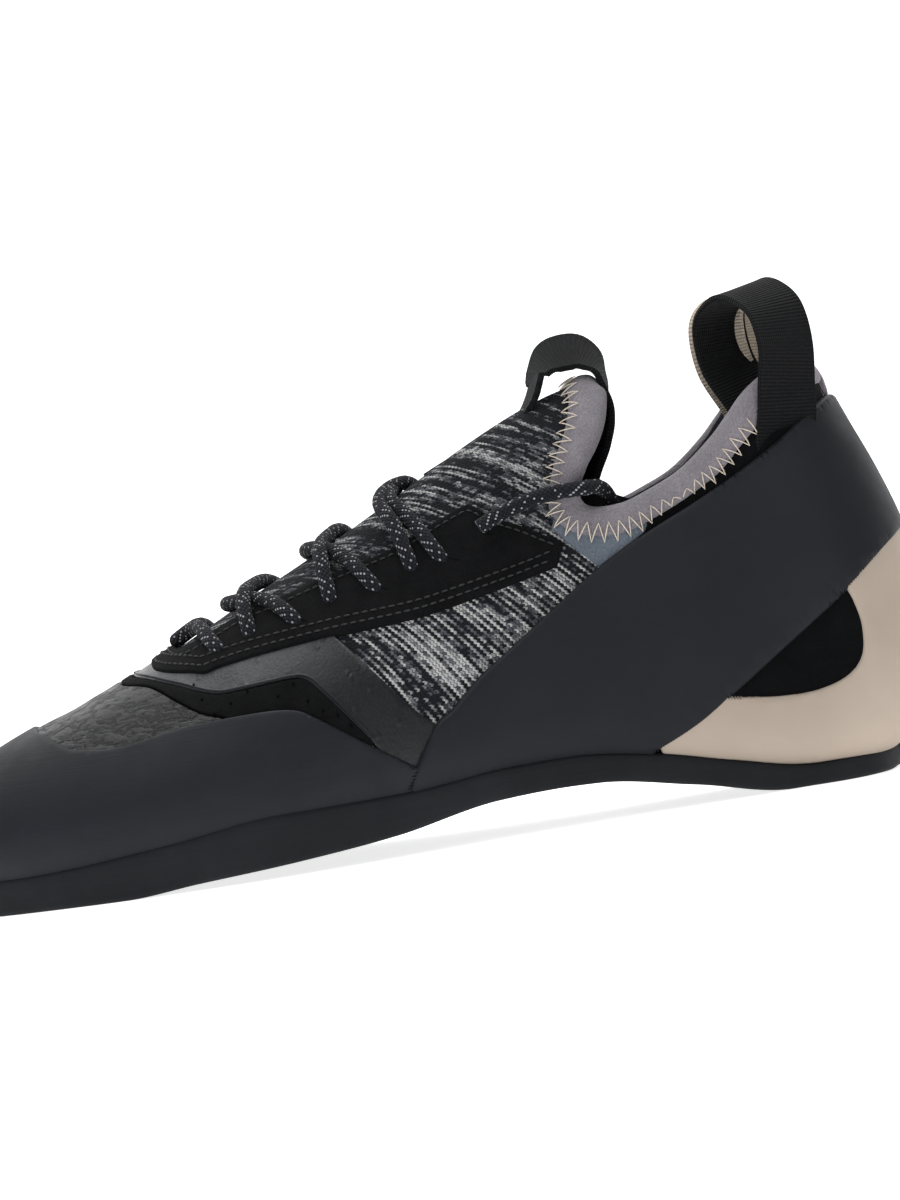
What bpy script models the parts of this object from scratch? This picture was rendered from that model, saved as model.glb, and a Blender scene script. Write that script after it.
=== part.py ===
"""Left climbing shoe, laced, in metres, with +Z up.

The toe points along -X, the heel along +X and the outer side of the foot is at -Y. The floor is z = 0
and the middle of the heel's flat spot stands on the origin. Every piece of the upper is cut from one
last, whose sections are the table SECTIONS, so the pieces lie over each other as sheets do.
"""

import math

import bmesh
import bpy
import numpy as np

# Driving sizes of the shoe
LAST_LENGTH = 0.2538
BALL_WIDTH = 0.0840
INSTEP_HEIGHT = 0.1055
HEEL_HEIGHT = 0.1000
HEEL_REST = 0.902

# Thicknesses
SOLE_THICKNESS = 0.0050
WALL = 0.0022
INSOLE_THICKNESS = 0.0020
RAND_THICKNESS = 0.0017
SLING_THICKNESS = 0.0019
PATCH_THICKNESS = 0.0009
STRIP_THICKNESS = 0.0009
FILM_THICKNESS = 0.0005
EYESTAY_THICKNESS = 0.0012
BINDING_OUTSIDE = 0.0009
BINDING_INSIDE = 0.0014

# Clearances and edges
CLEARANCE = 0.0003
BUTT_GAP = 0.0005
SOLE_STANDS_OUT = 0.0023
SOLE_EDGE = 0.0016
LASTING_MARGIN = 0.0090
INSOLE_RISE = 0.0050
HEEL_ROUND = 0.0220
HEEL_FULLNESS = 2.6
SOLE_HEEL_OUT = 0.0025

# Lace and webbing
LACE_DIAMETER = 0.0037
LACE_SIDES = 6
LACE_STEPS = 8
HEEL_WEBBING = 0.0155
TONGUE_WEBBING = 0.0160
WEBBING_THICKNESS = 0.0014

# Facets of the last
STATIONS = 29
LOWER_STEPS = 4
UPPER_STEPS = 7
OUTLINE_STEPS = 1
SOLE_STATIONS = 24

# One row for each section of the last, from the toe to above the collar. A section is a slanted plane
# between a point underneath and a point on top.
#   under, over      place along the last, as shares of LAST_LENGTH
#   under_up         height over the sole, as a share of HEEL_HEIGHT
#   over_up          height of the top over the lower point, as a share of INSTEP_HEIGHT
#   outer, inner     half widths towards -Y and +Y, as shares of BALL_WIDTH
#   ridge            the top's place towards +Y, as a share of BALL_WIDTH
#   middle           where the section is widest, as a share of its own height
#   brow, keel       fullness of the upper and of the lower corners, where 2 is an ellipse
SECTIONS = (
    (0.000, 0.090, 0.000, 0.000, -0.155, 0.155, 0.155, 0.40, 2.1, 2.5),
    (0.005, 0.048, 0.004, 0.082, -0.077, 0.236, 0.155, 0.38, 2.1, 2.6),
    (0.018, 0.026, 0.017, 0.148, 0.000, 0.307, 0.155, 0.37, 2.1, 2.7),
    (0.042, 0.010, 0.040, 0.208, 0.095, 0.363, 0.149, 0.36, 2.1, 2.8),
    (0.075, 0.002, 0.075, 0.264, 0.202, 0.408, 0.137, 0.35, 2.1, 2.9),
    (0.118, 0.000, 0.118, 0.315, 0.304, 0.446, 0.119, 0.34, 2.1, 3.0),
    (0.173, 0.001, 0.169, 0.361, 0.393, 0.471, 0.101, 0.32, 2.1, 3.0),
    (0.236, 0.009, 0.229, 0.407, 0.462, 0.483, 0.083, 0.30, 2.1, 3.0),
    (0.307, 0.018, 0.296, 0.472, 0.505, 0.474, 0.065, 0.28, 2.0, 3.0),
    (0.378, 0.031, 0.362, 0.537, 0.514, 0.438, 0.054, 0.26, 2.0, 3.1),
    (0.453, 0.048, 0.429, 0.595, 0.494, 0.386, 0.048, 0.25, 2.0, 3.2),
    (0.528, 0.072, 0.489, 0.642, 0.444, 0.329, 0.042, 0.24, 2.0, 3.3),
    (0.603, 0.094, 0.544, 0.689, 0.390, 0.289, 0.038, 0.23, 2.0, 3.4),
    (0.682, 0.088, 0.595, 0.758, 0.355, 0.276, 0.036, 0.21, 2.0, 3.5),
    (0.764, 0.050, 0.642, 0.845, 0.340, 0.293, 0.036, 0.20, 2.0, 3.5),
    (0.843, 0.013, 0.678, 0.911, 0.337, 0.314, 0.036, 0.19, 2.1, 3.5),
    (0.910, 0.000, 0.706, 0.940, 0.337, 0.327, 0.036, 0.19, 2.2, 3.3),
    (0.957, 0.023, 0.728, 0.929, 0.337, 0.325, 0.036, 0.21, 2.2, 2.8),
    (0.983, 0.100, 0.743, 0.874, 0.333, 0.321, 0.036, 0.25, 2.3, 2.5),
    (0.996, 0.230, 0.753, 0.775, 0.324, 0.314, 0.036, 0.32, 2.3, 2.3),
    (1.000, 0.380, 0.760, 0.656, 0.310, 0.302, 0.030, 0.40, 2.3, 2.2),
    (0.991, 0.535, 0.767, 0.532, 0.295, 0.288, 0.024, 0.45, 2.3, 2.1),
    (0.974, 0.675, 0.774, 0.423, 0.281, 0.274, 0.018, 0.48, 2.3, 2.1),
    (0.954, 0.805, 0.781, 0.323, 0.267, 0.260, 0.012, 0.50, 2.3, 2.1),
    (0.937, 0.930, 0.788, 0.227, 0.255, 0.250, 0.006, 0.50, 2.3, 2.1),
    (0.930, 1.070, 0.796, 0.123, 0.250, 0.244, 0.000, 0.50, 2.3, 2.1),
)

# The sole seen from the side: its tread over the floor, and its upper edge over SOLE_THICKNESS. Each
# point is a share of LAST_LENGTH along the last and a share of HEEL_HEIGHT up.
TREAD = (
    (-0.008, 0.060), (0.008, 0.034), (0.032, 0.013), (0.067, 0.000), (0.213, 0.000), (0.284, 0.015),
    (0.382, 0.031), (0.477, 0.052), (0.575, 0.091), (0.630, 0.095), (0.670, 0.092), (0.760, 0.050),
    (0.855, 0.000), (0.946, 0.000), (0.969, 0.012), (0.993, 0.030),
)
SEAM = (
    (-0.020, 0.072), (0.032, 0.046), (0.099, 0.037), (0.264, 0.070), (0.366, 0.101), (0.493, 0.101),
    (0.587, 0.118), (0.642, 0.119), (0.729, 0.090), (0.800, 0.044), (0.879, 0.003), (0.954, 0.005),
    (1.030, 0.011),
)

# Outlines seen from the side. Each point is a share of LAST_LENGTH along the last and a share of
# INSTEP_HEIGHT up. A curve is drawn through the points, from the toe or the ridge to the heel.
RAND_EDGE = (
    (0.134, 0.480), (0.146, 0.409), (0.158, 0.393), (0.175, 0.368), (0.189, 0.355), (0.229, 0.349),
    (0.284, 0.370), (0.331, 0.378), (0.378, 0.379), (0.402, 0.370), (0.418, 0.348), (0.441, 0.308),
    (0.465, 0.265), (0.485, 0.231), (0.504, 0.196),
)
STRIP_FRONT = (
    (0.213, 0.560), (0.229, 0.483), (0.264, 0.464), (0.292, 0.421), (0.311, 0.393), (0.331, 0.378),
)
STRIP_BACK = (
    (0.229, 0.560), (0.238, 0.500), (0.264, 0.481), (0.290, 0.461), (0.326, 0.431), (0.355, 0.431),
    (0.398, 0.438), (0.414, 0.432), (0.426, 0.403), (0.445, 0.345), (0.469, 0.267),
)
FILM_BACK = ((0.447, 0.514), (0.455, 0.492), (0.489, 0.391), (0.508, 0.332), (0.528, 0.284))
EYESTAY_LOW = (
    (0.258, 0.590), (0.264, 0.515), (0.275, 0.496), (0.303, 0.485), (0.318, 0.479), (0.335, 0.488),
    (0.374, 0.502), (0.447, 0.519), (0.510, 0.527), (0.540, 0.534), (0.587, 0.553), (0.638, 0.577),
    (0.670, 0.604),
)
EYESTAY_HIGH = (
    (0.282, 0.620), (0.288, 0.552), (0.299, 0.540), (0.323, 0.561), (0.357, 0.593), (0.398, 0.620),
    (0.437, 0.646), (0.481, 0.672), (0.516, 0.694), (0.548, 0.727), (0.583, 0.759), (0.593, 0.760),
    (0.611, 0.727), (0.638, 0.694), (0.658, 0.665), (0.672, 0.642),
)
SLING_HIGH = (
    (0.493, 0.143), (0.504, 0.196), (0.528, 0.284), (0.544, 0.310), (0.575, 0.375), (0.607, 0.426),
    (0.658, 0.508), (0.701, 0.574), (0.749, 0.633), (0.800, 0.686), (0.843, 0.735), (0.890, 0.796),
    (0.930, 0.856), (0.960, 0.884), (1.030, 0.890),
)
SLING_LOW = (
    (0.729, 0.133), (0.774, 0.182), (0.810, 0.238), (0.871, 0.335), (0.930, 0.428), (0.985, 0.526),
    (1.040, 0.600),
)
WINDOW = (
    (0.810, 0.238), (0.851, 0.222), (0.890, 0.223), (0.918, 0.244), (0.934, 0.284), (0.938, 0.348),
    (0.934, 0.402), (0.930, 0.428),
)
BINDING_LOW = (
    (0.701, 1.071), (0.701, 0.985), (0.701, 0.949), (0.693, 0.890), (0.680, 0.831), (0.670, 0.771),
    (0.666, 0.715), (0.678, 0.665), (0.703, 0.639), (0.733, 0.637), (0.764, 0.661), (0.800, 0.699),
    (0.831, 0.741), (0.858, 0.800), (0.890, 0.862), (0.925, 0.896), (0.960, 0.906), (1.030, 0.910),
)
BINDING_HIGH = (
    (0.733, 1.090), (0.731, 0.998), (0.736, 0.969), (0.733, 0.915), (0.721, 0.855), (0.705, 0.799),
    (0.696, 0.748), (0.704, 0.714), (0.733, 0.710), (0.762, 0.732), (0.792, 0.764), (0.823, 0.820),
    (0.843, 0.867), (0.862, 0.912), (0.885, 0.946), (0.910, 0.960), (0.940, 0.952), (1.030, 0.940),
)

# Eyelets on the outer side, from the toe: shares of LAST_LENGTH along and of INSTEP_HEIGHT up. The inner
# side mirrors them. Each pair after the first takes one crossing of the lace.
FIRST_EYELET = (0.333, 0.530)
EYELET_PAIRS = (
    ((0.364, 0.561), (0.410, 0.572)),
    ((0.446, 0.608), (0.491, 0.613)),
    ((0.528, 0.647), (0.560, 0.654)),
)

# Routes of webbing loops: shares of LAST_LENGTH along, of BALL_WIDTH towards the outer side and of
# INSTEP_HEIGHT up, at the middle of the band.
HEEL_LOOP = (
    (0.905, 0.292, 0.872), (0.903, 0.282, 0.930), (0.899, 0.279, 1.005), (0.889, 0.249, 1.090),
    (0.873, 0.192, 1.140), (0.856, 0.136, 1.116), (0.847, 0.114, 1.035), (0.845, 0.128, 0.950),
    (0.845, 0.150, 0.860), (0.845, 0.168, 0.770),
)
HEEL_MIDDLE = 0.0048
TONGUE_LOOP = (
    (0.690, -0.225, 0.930), (0.695, -0.195, 0.985), (0.700, -0.165, 1.045), (0.702, -0.135, 1.082),
    (0.702, -0.100, 1.090), (0.700, -0.068, 1.065), (0.697, -0.052, 1.026),
)

# The lace's two ends run from the last eyelet over the collar's notch and down inside, in metres.
LACE_END = (
    (-0.0774, -0.0226, 0.0742), (-0.0735, -0.0220, 0.0760), (-0.0690, -0.0217, 0.0775),
    (-0.0640, -0.0214, 0.0788), (-0.0590, -0.0214, 0.0795), (-0.0567, -0.0217, 0.0796),
    (-0.0545, -0.0220, 0.0796), (-0.0510, -0.0208, 0.0795), (-0.0484, -0.0178, 0.0794),
    (-0.0464, -0.0144, 0.0784), (-0.0450, -0.0114, 0.0758), (-0.0442, -0.0096, 0.0718),
    (-0.0438, -0.0088, 0.0672), (-0.0436, -0.0084, 0.0622), (-0.0434, -0.0082, 0.0572),
)
LACE_MIDDLE = 0.0018

# Finishes: colour, roughness and metallic value
FINISHES = {
    "rubber_dark": ((0.026, 0.029, 0.034), 0.55, 0.0),
    "rubber_tread": ((0.020, 0.022, 0.026), 0.65, 0.0),
    "rubber_beige": ((0.50, 0.42, 0.34), 0.60, 0.0),
    "leather": ((0.030, 0.031, 0.033), 0.60, 0.0),
    "film": ((0.025, 0.027, 0.031), 0.25, 0.0),
    "microsuede": ((0.014, 0.015, 0.016), 0.90, 0.0),
    "suede": ((0.012, 0.012, 0.013), 0.95, 0.0),
    "knit": ((0.055, 0.060, 0.070), 0.90, 0.0),
    "binding": ((0.17, 0.155, 0.19), 0.90, 0.0),
    "webbing_black": ((0.008, 0.009, 0.010), 0.80, 0.0),
    "webbing_beige": ((0.42, 0.36, 0.30), 0.85, 0.0),
    "lace": ((0.020, 0.020, 0.022), 0.90, 0.0),
    "insole": ((0.30, 0.28, 0.26), 0.90, 0.0),
}


def clear_scene():
    """Removes what the new scene holds."""
    for obj in list(bpy.data.objects):
        bpy.data.objects.remove(obj, do_unlink=True)


def spline(rows, at):
    """Points on a smooth curve through rows, at row numbers with fractions."""
    rows = np.asarray(rows, dtype=float)
    slopes = np.empty_like(rows)
    slopes[1:-1] = (rows[2:] - rows[:-2]) / 2
    slopes[0] = (-3 * rows[0] + 4 * rows[1] - rows[2]) / 2
    slopes[-1] = (3 * rows[-1] - 4 * rows[-2] + rows[-3]) / 2
    at = np.asarray(at, dtype=float)
    row = np.minimum(at.astype(int), len(rows) - 2)
    f = (at - row)[..., None]
    return (
        (2 * f**3 - 3 * f**2 + 1) * rows[row]
        + (f**3 - 2 * f**2 + f) * slopes[row]
        + (3 * f**2 - 2 * f**3) * rows[row + 1]
        + (f**3 - f**2) * slopes[row + 1]
    )


def height_along(points, x):
    """Height at x of a side outline that never swings past its points, so its flats stay flat."""
    along = np.array([to_x(point[0]) for point in points])
    up = np.array([point[1] * HEEL_HEIGHT for point in points])
    steps = np.diff(along)
    rises = np.diff(up) / steps
    slopes = np.zeros(len(points))
    same_way = rises[1:] * rises[:-1] > 0
    mean = 2 * rises[1:] * rises[:-1] / np.where(same_way, rises[1:] + rises[:-1], 1)
    slopes[1:-1] = np.where(same_way, mean, 0)
    slopes[0], slopes[-1] = rises[0], rises[-1]
    x = np.clip(np.asarray(x, dtype=float), along[0], along[-1])
    i = np.clip(np.searchsorted(along, x) - 1, 0, len(points) - 2)
    f = (x - along[i]) / steps[i]
    return (
        (2 * f**3 - 3 * f**2 + 1) * up[i]
        + (f**3 - 2 * f**2 + f) * slopes[i] * steps[i]
        + (3 * f**2 - 2 * f**3) * up[i + 1]
        + (f**3 - f**2) * slopes[i + 1] * steps[i]
    )


def tread(x):
    """Height of the sole's underside at x."""
    return height_along(TREAD, x)


def seam(x):
    """Height of the sole's upper edge at x."""
    return SOLE_THICKNESS + height_along(SEAM, x)


def to_x(along):
    """World x of a share of LAST_LENGTH."""
    return (along - HEEL_REST) * LAST_LENGTH


def ring_turns():
    """Angles round a section, from underneath by the inner side, the top and the outer side."""
    lower = [-90 + 90 * k / LOWER_STEPS for k in range(LOWER_STEPS)]
    upper = [90 * k / UPPER_STEPS for k in range(UPPER_STEPS)]
    half = lower + upper
    return np.radians(half + [90] + [180 - turn for turn in half[:0:-1]])


def last_points(stations, turns):
    """Grid of points on the last: one row for each station, one column for each turn."""
    rows = spline(SECTIONS, stations)[:, None, :]
    under, under_up, over, over_up, outer, inner, ridge, middle, brow, keel = np.moveaxis(rows, 2, 0)
    sine = np.sin(turns)[None, :]
    cosine = np.cos(turns)[None, :]
    power = 2 / np.where(sine >= 0, brow, keel)
    swing = np.sign(cosine) * np.abs(cosine) ** power
    rise = np.where(sine >= 0, 1 - middle, -middle) * np.abs(sine) ** power
    lift = np.clip(rise / (1 - middle), 0, 1)
    lift = lift**2 * (3 - 2 * lift)
    centre = (inner - outer) / 2
    x = to_x(under + (over - under) * (middle + rise))
    low = SOLE_THICKNESS + under_up * HEEL_HEIGHT
    z = low + over_up * INSTEP_HEIGHT * (middle + rise)
    y = BALL_WIDTH * (centre + (ridge - centre) * lift + (inner + outer) / 2 * swing)
    return np.stack(np.broadcast_arrays(x, y, z), axis=-1)


def last_grid(offset, stations=STATIONS, turns=None):
    """The last's grid moved outwards by offset, which is negative for a smaller form."""
    turns = ring_turns() if turns is None else turns
    places = np.linspace(0, len(SECTIONS) - 1, stations)
    grid = last_points(places, turns)
    ahead = np.gradient(grid, axis=0)
    round_it = np.roll(grid, -1, axis=1) - np.roll(grid, 1, axis=1)
    normal = np.cross(round_it, ahead)
    normal /= np.maximum(np.linalg.norm(normal, axis=-1, keepdims=True), 1e-12)
    normal[0] = (-1, 0, 0)
    outwards = np.sign(np.sum(normal[1, :, :] * (grid[1] - grid[1].mean(axis=0))))
    normal[1:] *= outwards
    return grid + offset * normal


def new_mesh(name, vertices, faces):
    """A mesh object with faces turned outwards."""
    mesh = bpy.data.meshes.new(name)
    mesh.from_pydata([tuple(v) for v in vertices], [], faces)
    mesh.update()
    obj = bpy.data.objects.new(name, mesh)
    bpy.context.scene.collection.objects.link(obj)
    if signed_volume(mesh) < 0:
        mesh.flip_normals()
    return obj


def signed_volume(mesh):
    """Volume of a closed mesh, below zero where its faces look inwards."""
    mesh.calc_loop_triangles()
    total = 0.0
    for triangle in mesh.loop_triangles:
        a, b, c = (mesh.vertices[i].co for i in triangle.vertices)
        total += a.dot(b.cross(c)) / 6
    return total


def last_form(name, offset):
    """A closed solid of the last's shape, larger by offset all round."""
    grid = last_grid(offset)
    stations, ring = grid.shape[:2]
    vertices = [grid[0].mean(axis=0)] + [point for row in grid[1:] for point in row]
    vertices.append(grid[-1].mean(axis=0))
    faces = [(0, 1 + k, 1 + (k + 1) % ring) for k in range(ring)]
    for i in range(stations - 2):
        near, far = 1 + i * ring, 1 + (i + 1) * ring
        for k in range(ring):
            nxt = (k + 1) % ring
            faces.append((near + k, far + k, far + nxt))
            faces.append((near + k, far + nxt, near + nxt))
    rim = 1 + (stations - 2) * ring
    faces += [(rim + (k + 1) % ring, rim + k, len(vertices) - 1) for k in range(ring)]
    return new_mesh(name, vertices, faces)


def helper(obj):
    """Hides an object that only cuts or joins others."""
    obj.hide_render = True
    obj.display_type = "WIRE"
    for collection in list(obj.users_collection):
        collection.objects.unlink(obj)
    cutters.objects.link(obj)
    return obj


def shape_with(obj, tool, operation):
    """Adds a Boolean of tool to obj."""
    modifier = obj.modifiers.new(f"{operation.lower()}_{tool.name}", "BOOLEAN")
    modifier.operation = operation
    modifier.solver = "EXACT"
    modifier.object = tool
    return obj


def curve_through(points, steps=OUTLINE_STEPS):
    """Side outline in world x and z, as a smooth curve through a table's points."""
    at = np.linspace(0, len(points) - 1, (len(points) - 1) * steps + 1)
    curve = spline(points, at)
    return np.column_stack([to_x(curve[:, 0]), curve[:, 1] * INSTEP_HEIGHT])


def shifted(curve, distance):
    """The curve moved sideways, to the left of its own direction where distance is above zero."""
    ahead = np.gradient(curve, axis=0)
    ahead /= np.linalg.norm(ahead, axis=1, keepdims=True)
    return curve + distance * np.column_stack([-ahead[:, 1], ahead[:, 0]])


def between(curve, first, last):
    """The curve's points whose x lies between two shares of LAST_LENGTH."""
    keep = (curve[:, 0] >= to_x(first)) & (curve[:, 0] <= to_x(last))
    return curve[keep]


def seam_line(first, last, lift):
    """The outsole's upper edge from first to last, raised by lift."""
    x = np.linspace(to_x(first), to_x(last), 8)
    return np.column_stack([x, seam(x) + lift])


def side_prism(name, outline):
    """A prism through the whole width of the shoe, with this side outline."""
    reach = BALL_WIDTH
    count = len(outline)
    vertices = [(x, y, z) for y in (-reach, reach) for x, z in outline]
    faces = [tuple(range(count)), tuple(range(2 * count - 1, count - 1, -1))]
    faces += [(k, count + k, count + (k + 1) % count, (k + 1) % count) for k in range(count)]
    prism = helper(new_mesh(name, vertices, faces))
    shape = bmesh.new()
    shape.from_mesh(prism.data)
    bmesh.ops.triangulate(shape, faces=shape.faces, ngon_method="EAR_CLIP")
    shape.to_mesh(prism.data)
    shape.free()
    return prism


def underside(x):
    """Height of the last's underside at x, along its middle."""
    bottom = last_grid(0, 200, ring_turns())[:, 0]
    flat_part = bottom[: int(np.argmax(bottom[:, 0])) + 1]
    return np.interp(x, flat_part[:, 0], flat_part[:, 2])


def sole_outline(inset, margin=0):
    """Plan outline where the sole meets the upper, ring-wise, made smaller by inset or, in scale, by margin."""
    grid = last_grid(SOLE_STANDS_OUT, 240, np.radians(np.arange(-90, 270, 3)))
    sides = []
    for columns in (range(120, 89, -1), range(0, 31)):
        found = []
        for row in grid[1:]:
            line = row[[k % 120 for k in columns]]
            above = line[:, 2] - seam(line[:, 0])
            if above[0] < 0 < above[-1]:
                k = int(np.argmax(above > 0))
                share = above[k - 1] / (above[k - 1] - above[k])
                found.append((line[k - 1] + (line[k] - line[k - 1]) * share)[:2])
        sides.append(np.array(found))
    outer, inner = sides
    first = min(outer[:, 0].min(), inner[:, 0].min())
    last = max(outer[:, 0].max(), inner[:, 0].max()) + SOLE_HEEL_OUT
    turn = np.linspace(0, math.pi, SOLE_STATIONS + 1)
    x = (first + last) / 2 - (last - first) / 2 * np.cos(turn)
    order_outer, order_inner = np.argsort(outer[:, 0]), np.argsort(inner[:, 0])
    low = np.interp(x, outer[order_outer, 0], outer[order_outer, 1])
    high = np.interp(x, inner[order_inner, 0], inner[order_inner, 1])
    low[0] = high[0] = (low[0] + high[0]) / 2
    over = np.clip((x - last + HEEL_ROUND) / HEEL_ROUND, 0, 1)
    heel = (1 - over**HEEL_FULLNESS) ** (1 / HEEL_FULLNESS)
    low, high = (low + high) / 2 - (high - low) / 2 * heel, (low + high) / 2 + (high - low) / 2 * heel
    shrink = 1 - margin / (BALL_WIDTH / 2)
    low, high = (
        (low + high) / 2 - (high - low) / 2 * shrink,
        (low + high) / 2 + (high - low) / 2 * shrink,
    )
    x = (first + last) / 2 + (x - (first + last) / 2) * (1 - 2 * margin / (last - first))
    ring = [(x[k], low[k]) for k in range(len(x))]
    ring += [(x[k], high[k]) for k in range(len(x) - 2, 0, -1)]
    ring = np.array(ring)
    ahead = np.roll(ring, -1, axis=0) - np.roll(ring, 1, axis=0)
    ahead /= np.linalg.norm(ahead, axis=1, keepdims=True)
    return ring + inset * np.column_stack([-ahead[:, 1], ahead[:, 0]])


def slab(name, rings):
    """A closed solid of stacked rings, each a plan outline and a function of its height."""
    count = len(rings[0][0])
    half = count // 2
    vertices = [(x, y, float(height(x))) for ring, height in rings for x, y in ring]
    faces = []
    for level in range(len(rings) - 1):
        low, high = level * count, (level + 1) * count
        faces += [(low + k, low + (k + 1) % count, high + (k + 1) % count, high + k) for k in range(count)]
    for base, upwards in ((0, False), ((len(rings) - 1) * count, True)):
        for k in range(half):
            face = [base + k, base + k + 1, base + (count - k - 1) % count, base + (count - k) % count]
            face = list(dict.fromkeys(face))
            faces.append(tuple(face if upwards else face[::-1]))
    return new_mesh(name, vertices, faces)


def finish(name, obj, slot):
    """Names a finished piece and gives it its material."""
    obj.name = name
    obj.data.name = name
    obj.data.materials.append(materials[slot])
    return obj


def make_materials():
    """One Principled BSDF material for each finish."""
    made = {}
    for name, (colour, roughness, metallic) in FINISHES.items():
        material = bpy.data.materials.new(name)
        material.use_nodes = True
        shader = material.node_tree.nodes["Principled BSDF"]
        shader.inputs["Base Color"].default_value = (*colour, 1)
        shader.inputs["Roughness"].default_value = roughness
        shader.inputs["Metallic"].default_value = metallic
        made[name] = material
    return made


def sheet_on_last(name, outline, thickness, slot):
    """A sheet of the given thickness that lies on the last, cut to a side outline."""
    sheet = last_form(name, CLEARANCE + thickness)
    shape_with(sheet, form_near, "DIFFERENCE")
    shape_with(sheet, side_prism(f"{name}_outline", outline), "INTERSECT")
    return finish(name, sheet, slot)


def build_sole():
    """The outsole with a bed for the upper, and the insole that closes the upper's bottom."""
    outsole = slab("outsole", [
        (sole_outline(SOLE_EDGE), tread),
        (sole_outline(0.25 * SOLE_EDGE), lambda x: tread(x) + 0.3 * SOLE_EDGE),
        (sole_outline(0), lambda x: tread(x) + SOLE_EDGE),
        (sole_outline(0), seam),
    ])
    shape_with(outsole, form_near, "DIFFERENCE")
    finish("outsole", outsole, "rubber_tread")

    plate = helper(last_form("insole_plate", -WALL - CLEARANCE))
    brim = helper(slab("insole_brim", [
        (sole_outline(-SOLE_THICKNESS), lambda x: -SOLE_THICKNESS),
        (sole_outline(-SOLE_THICKNESS), lambda x: underside(x) + INSOLE_RISE),
    ]))
    top = helper(last_form("insole_top", -WALL - CLEARANCE - INSOLE_THICKNESS))
    shape_with(plate, brim, "INTERSECT")
    shape_with(plate, top, "DIFFERENCE")
    insole = last_form("insole", 0)
    margin = SOLE_STANDS_OUT + LASTING_MARGIN + BUTT_GAP
    plug = helper(slab("insole_plug", [
        (sole_outline(0, margin), lambda x: -SOLE_THICKNESS),
        (sole_outline(0, margin), lambda x: underside(x) + WALL + INSOLE_THICKNESS),
    ]))
    shape_with(insole, plug, "INTERSECT")
    shape_with(insole, plate, "UNION")
    finish("insole", insole, "insole")


def build_upper():
    """The bootie, one sheet round the foot, open at the collar and underneath."""
    upper = last_form("upper", 0)
    low = shifted(curve_through(BINDING_LOW), -BUTT_GAP / 2)
    above = [(to_x(1.1), INSTEP_HEIGHT * 0.91), (to_x(1.1), INSTEP_HEIGHT * 1.6), (low[0][0], INSTEP_HEIGHT * 1.6)]
    shape_with(upper, side_prism("collar_opening", np.vstack([low, above])), "DIFFERENCE")
    shape_with(upper, helper(last_form("foot_room", -WALL)), "DIFFERENCE")
    margin = SOLE_STANDS_OUT + LASTING_MARGIN
    bottom = helper(slab("bottom_opening", [
        (sole_outline(0, margin), lambda x: -SOLE_THICKNESS),
        (sole_outline(0, margin), lambda x: underside(x) + INSOLE_RISE),
    ]))
    shape_with(upper, bottom, "DIFFERENCE")
    finish("upper", upper, "knit")


def build_rands():
    """The rubber round the toe and the heel, and the sling that pulls the heel forward."""
    half = BUTT_GAP / 2
    rand_edge = curve_through(RAND_EDGE)
    sling_high = curve_through(SLING_HIGH)
    sling_low = curve_through(SLING_LOW)
    joint = sling_high[: OUTLINE_STEPS + 1]
    toe = np.vstack([
        shifted(rand_edge, -half),
        shifted(joint[::-1], -half)[1:-1],
        seam_line(-0.02, 0.490, BUTT_GAP)[::-1],
        [(to_x(-0.1), 0.116 * INSTEP_HEIGHT), (to_x(-0.1), 0.6 * INSTEP_HEIGHT), (to_x(0.134), 0.6 * INSTEP_HEIGHT)],
    ])
    sheet_on_last("toe_rand", toe, RAND_THICKNESS, "rubber_dark")
    sling = np.vstack([
        shifted(sling_high, -half)[1:],
        shifted(sling_low, half)[::-1],
        seam_line(0.500, 0.720, BUTT_GAP)[::-1],
    ])
    sheet_on_last("heel_sling", sling, SLING_THICKNESS, "rubber_dark")
    window = curve_through(WINDOW)
    heel = np.vstack([
        between(shifted(sling_low, -half), 0.735, 0.808),
        shifted(window, -half)[1:-1],
        between(shifted(sling_low, -half), 0.934, 1.05),
        [(to_x(1.1), 0.6 * INSTEP_HEIGHT), (to_x(1.1), 0.058 * INSTEP_HEIGHT)],
        seam_line(0.745, 1.02, BUTT_GAP)[::-1],
    ])
    sheet_on_last("heel_rand", heel, RAND_THICKNESS, "rubber_beige")


def build_vamp():
    """The sheets over the forefoot, from the toe back: patch, perforated strip, film and eyestay."""
    half = BUTT_GAP / 2
    rand_edge = curve_through(RAND_EDGE)
    strip_front = curve_through(STRIP_FRONT)
    strip_back = curve_through(STRIP_BACK)
    eyestay_low = curve_through(EYESTAY_LOW)
    patch = np.vstack([
        between(shifted(rand_edge, half), 0, 0.312),
        between(shifted(strip_front, -half), 0, 0.308)[::-1],
    ])
    sheet_on_last("toe_patch", patch, PATCH_THICKNESS, "leather")
    strip = np.vstack([
        shifted(strip_front, half)[:-1],
        between(shifted(rand_edge, half), 0.336, 0.463),
        between(shifted(strip_back, -half), 0, 0.461)[::-1],
    ])
    sheet_on_last("perforated_strip", strip, STRIP_THICKNESS, "microsuede")
    film = np.vstack([
        shifted(strip_back, half),
        between(shifted(rand_edge, half), 0.474, 0.503),
        between(shifted(curve_through(SLING_HIGH), half), 0.506, 0.528),
        shifted(curve_through(FILM_BACK), -half)[::-1][1:],
        between(shifted(eyestay_low, -half), 0, 0.445)[::-1],
    ])
    sheet_on_last("vamp_film", film, FILM_THICKNESS, "film")
    eyestay = np.vstack([
        shifted(eyestay_low, half),
        shifted(curve_through(EYESTAY_HIGH), -half)[::-1],
    ])
    sheet_on_last("eyestay", eyestay, EYESTAY_THICKNESS, "suede")


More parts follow.
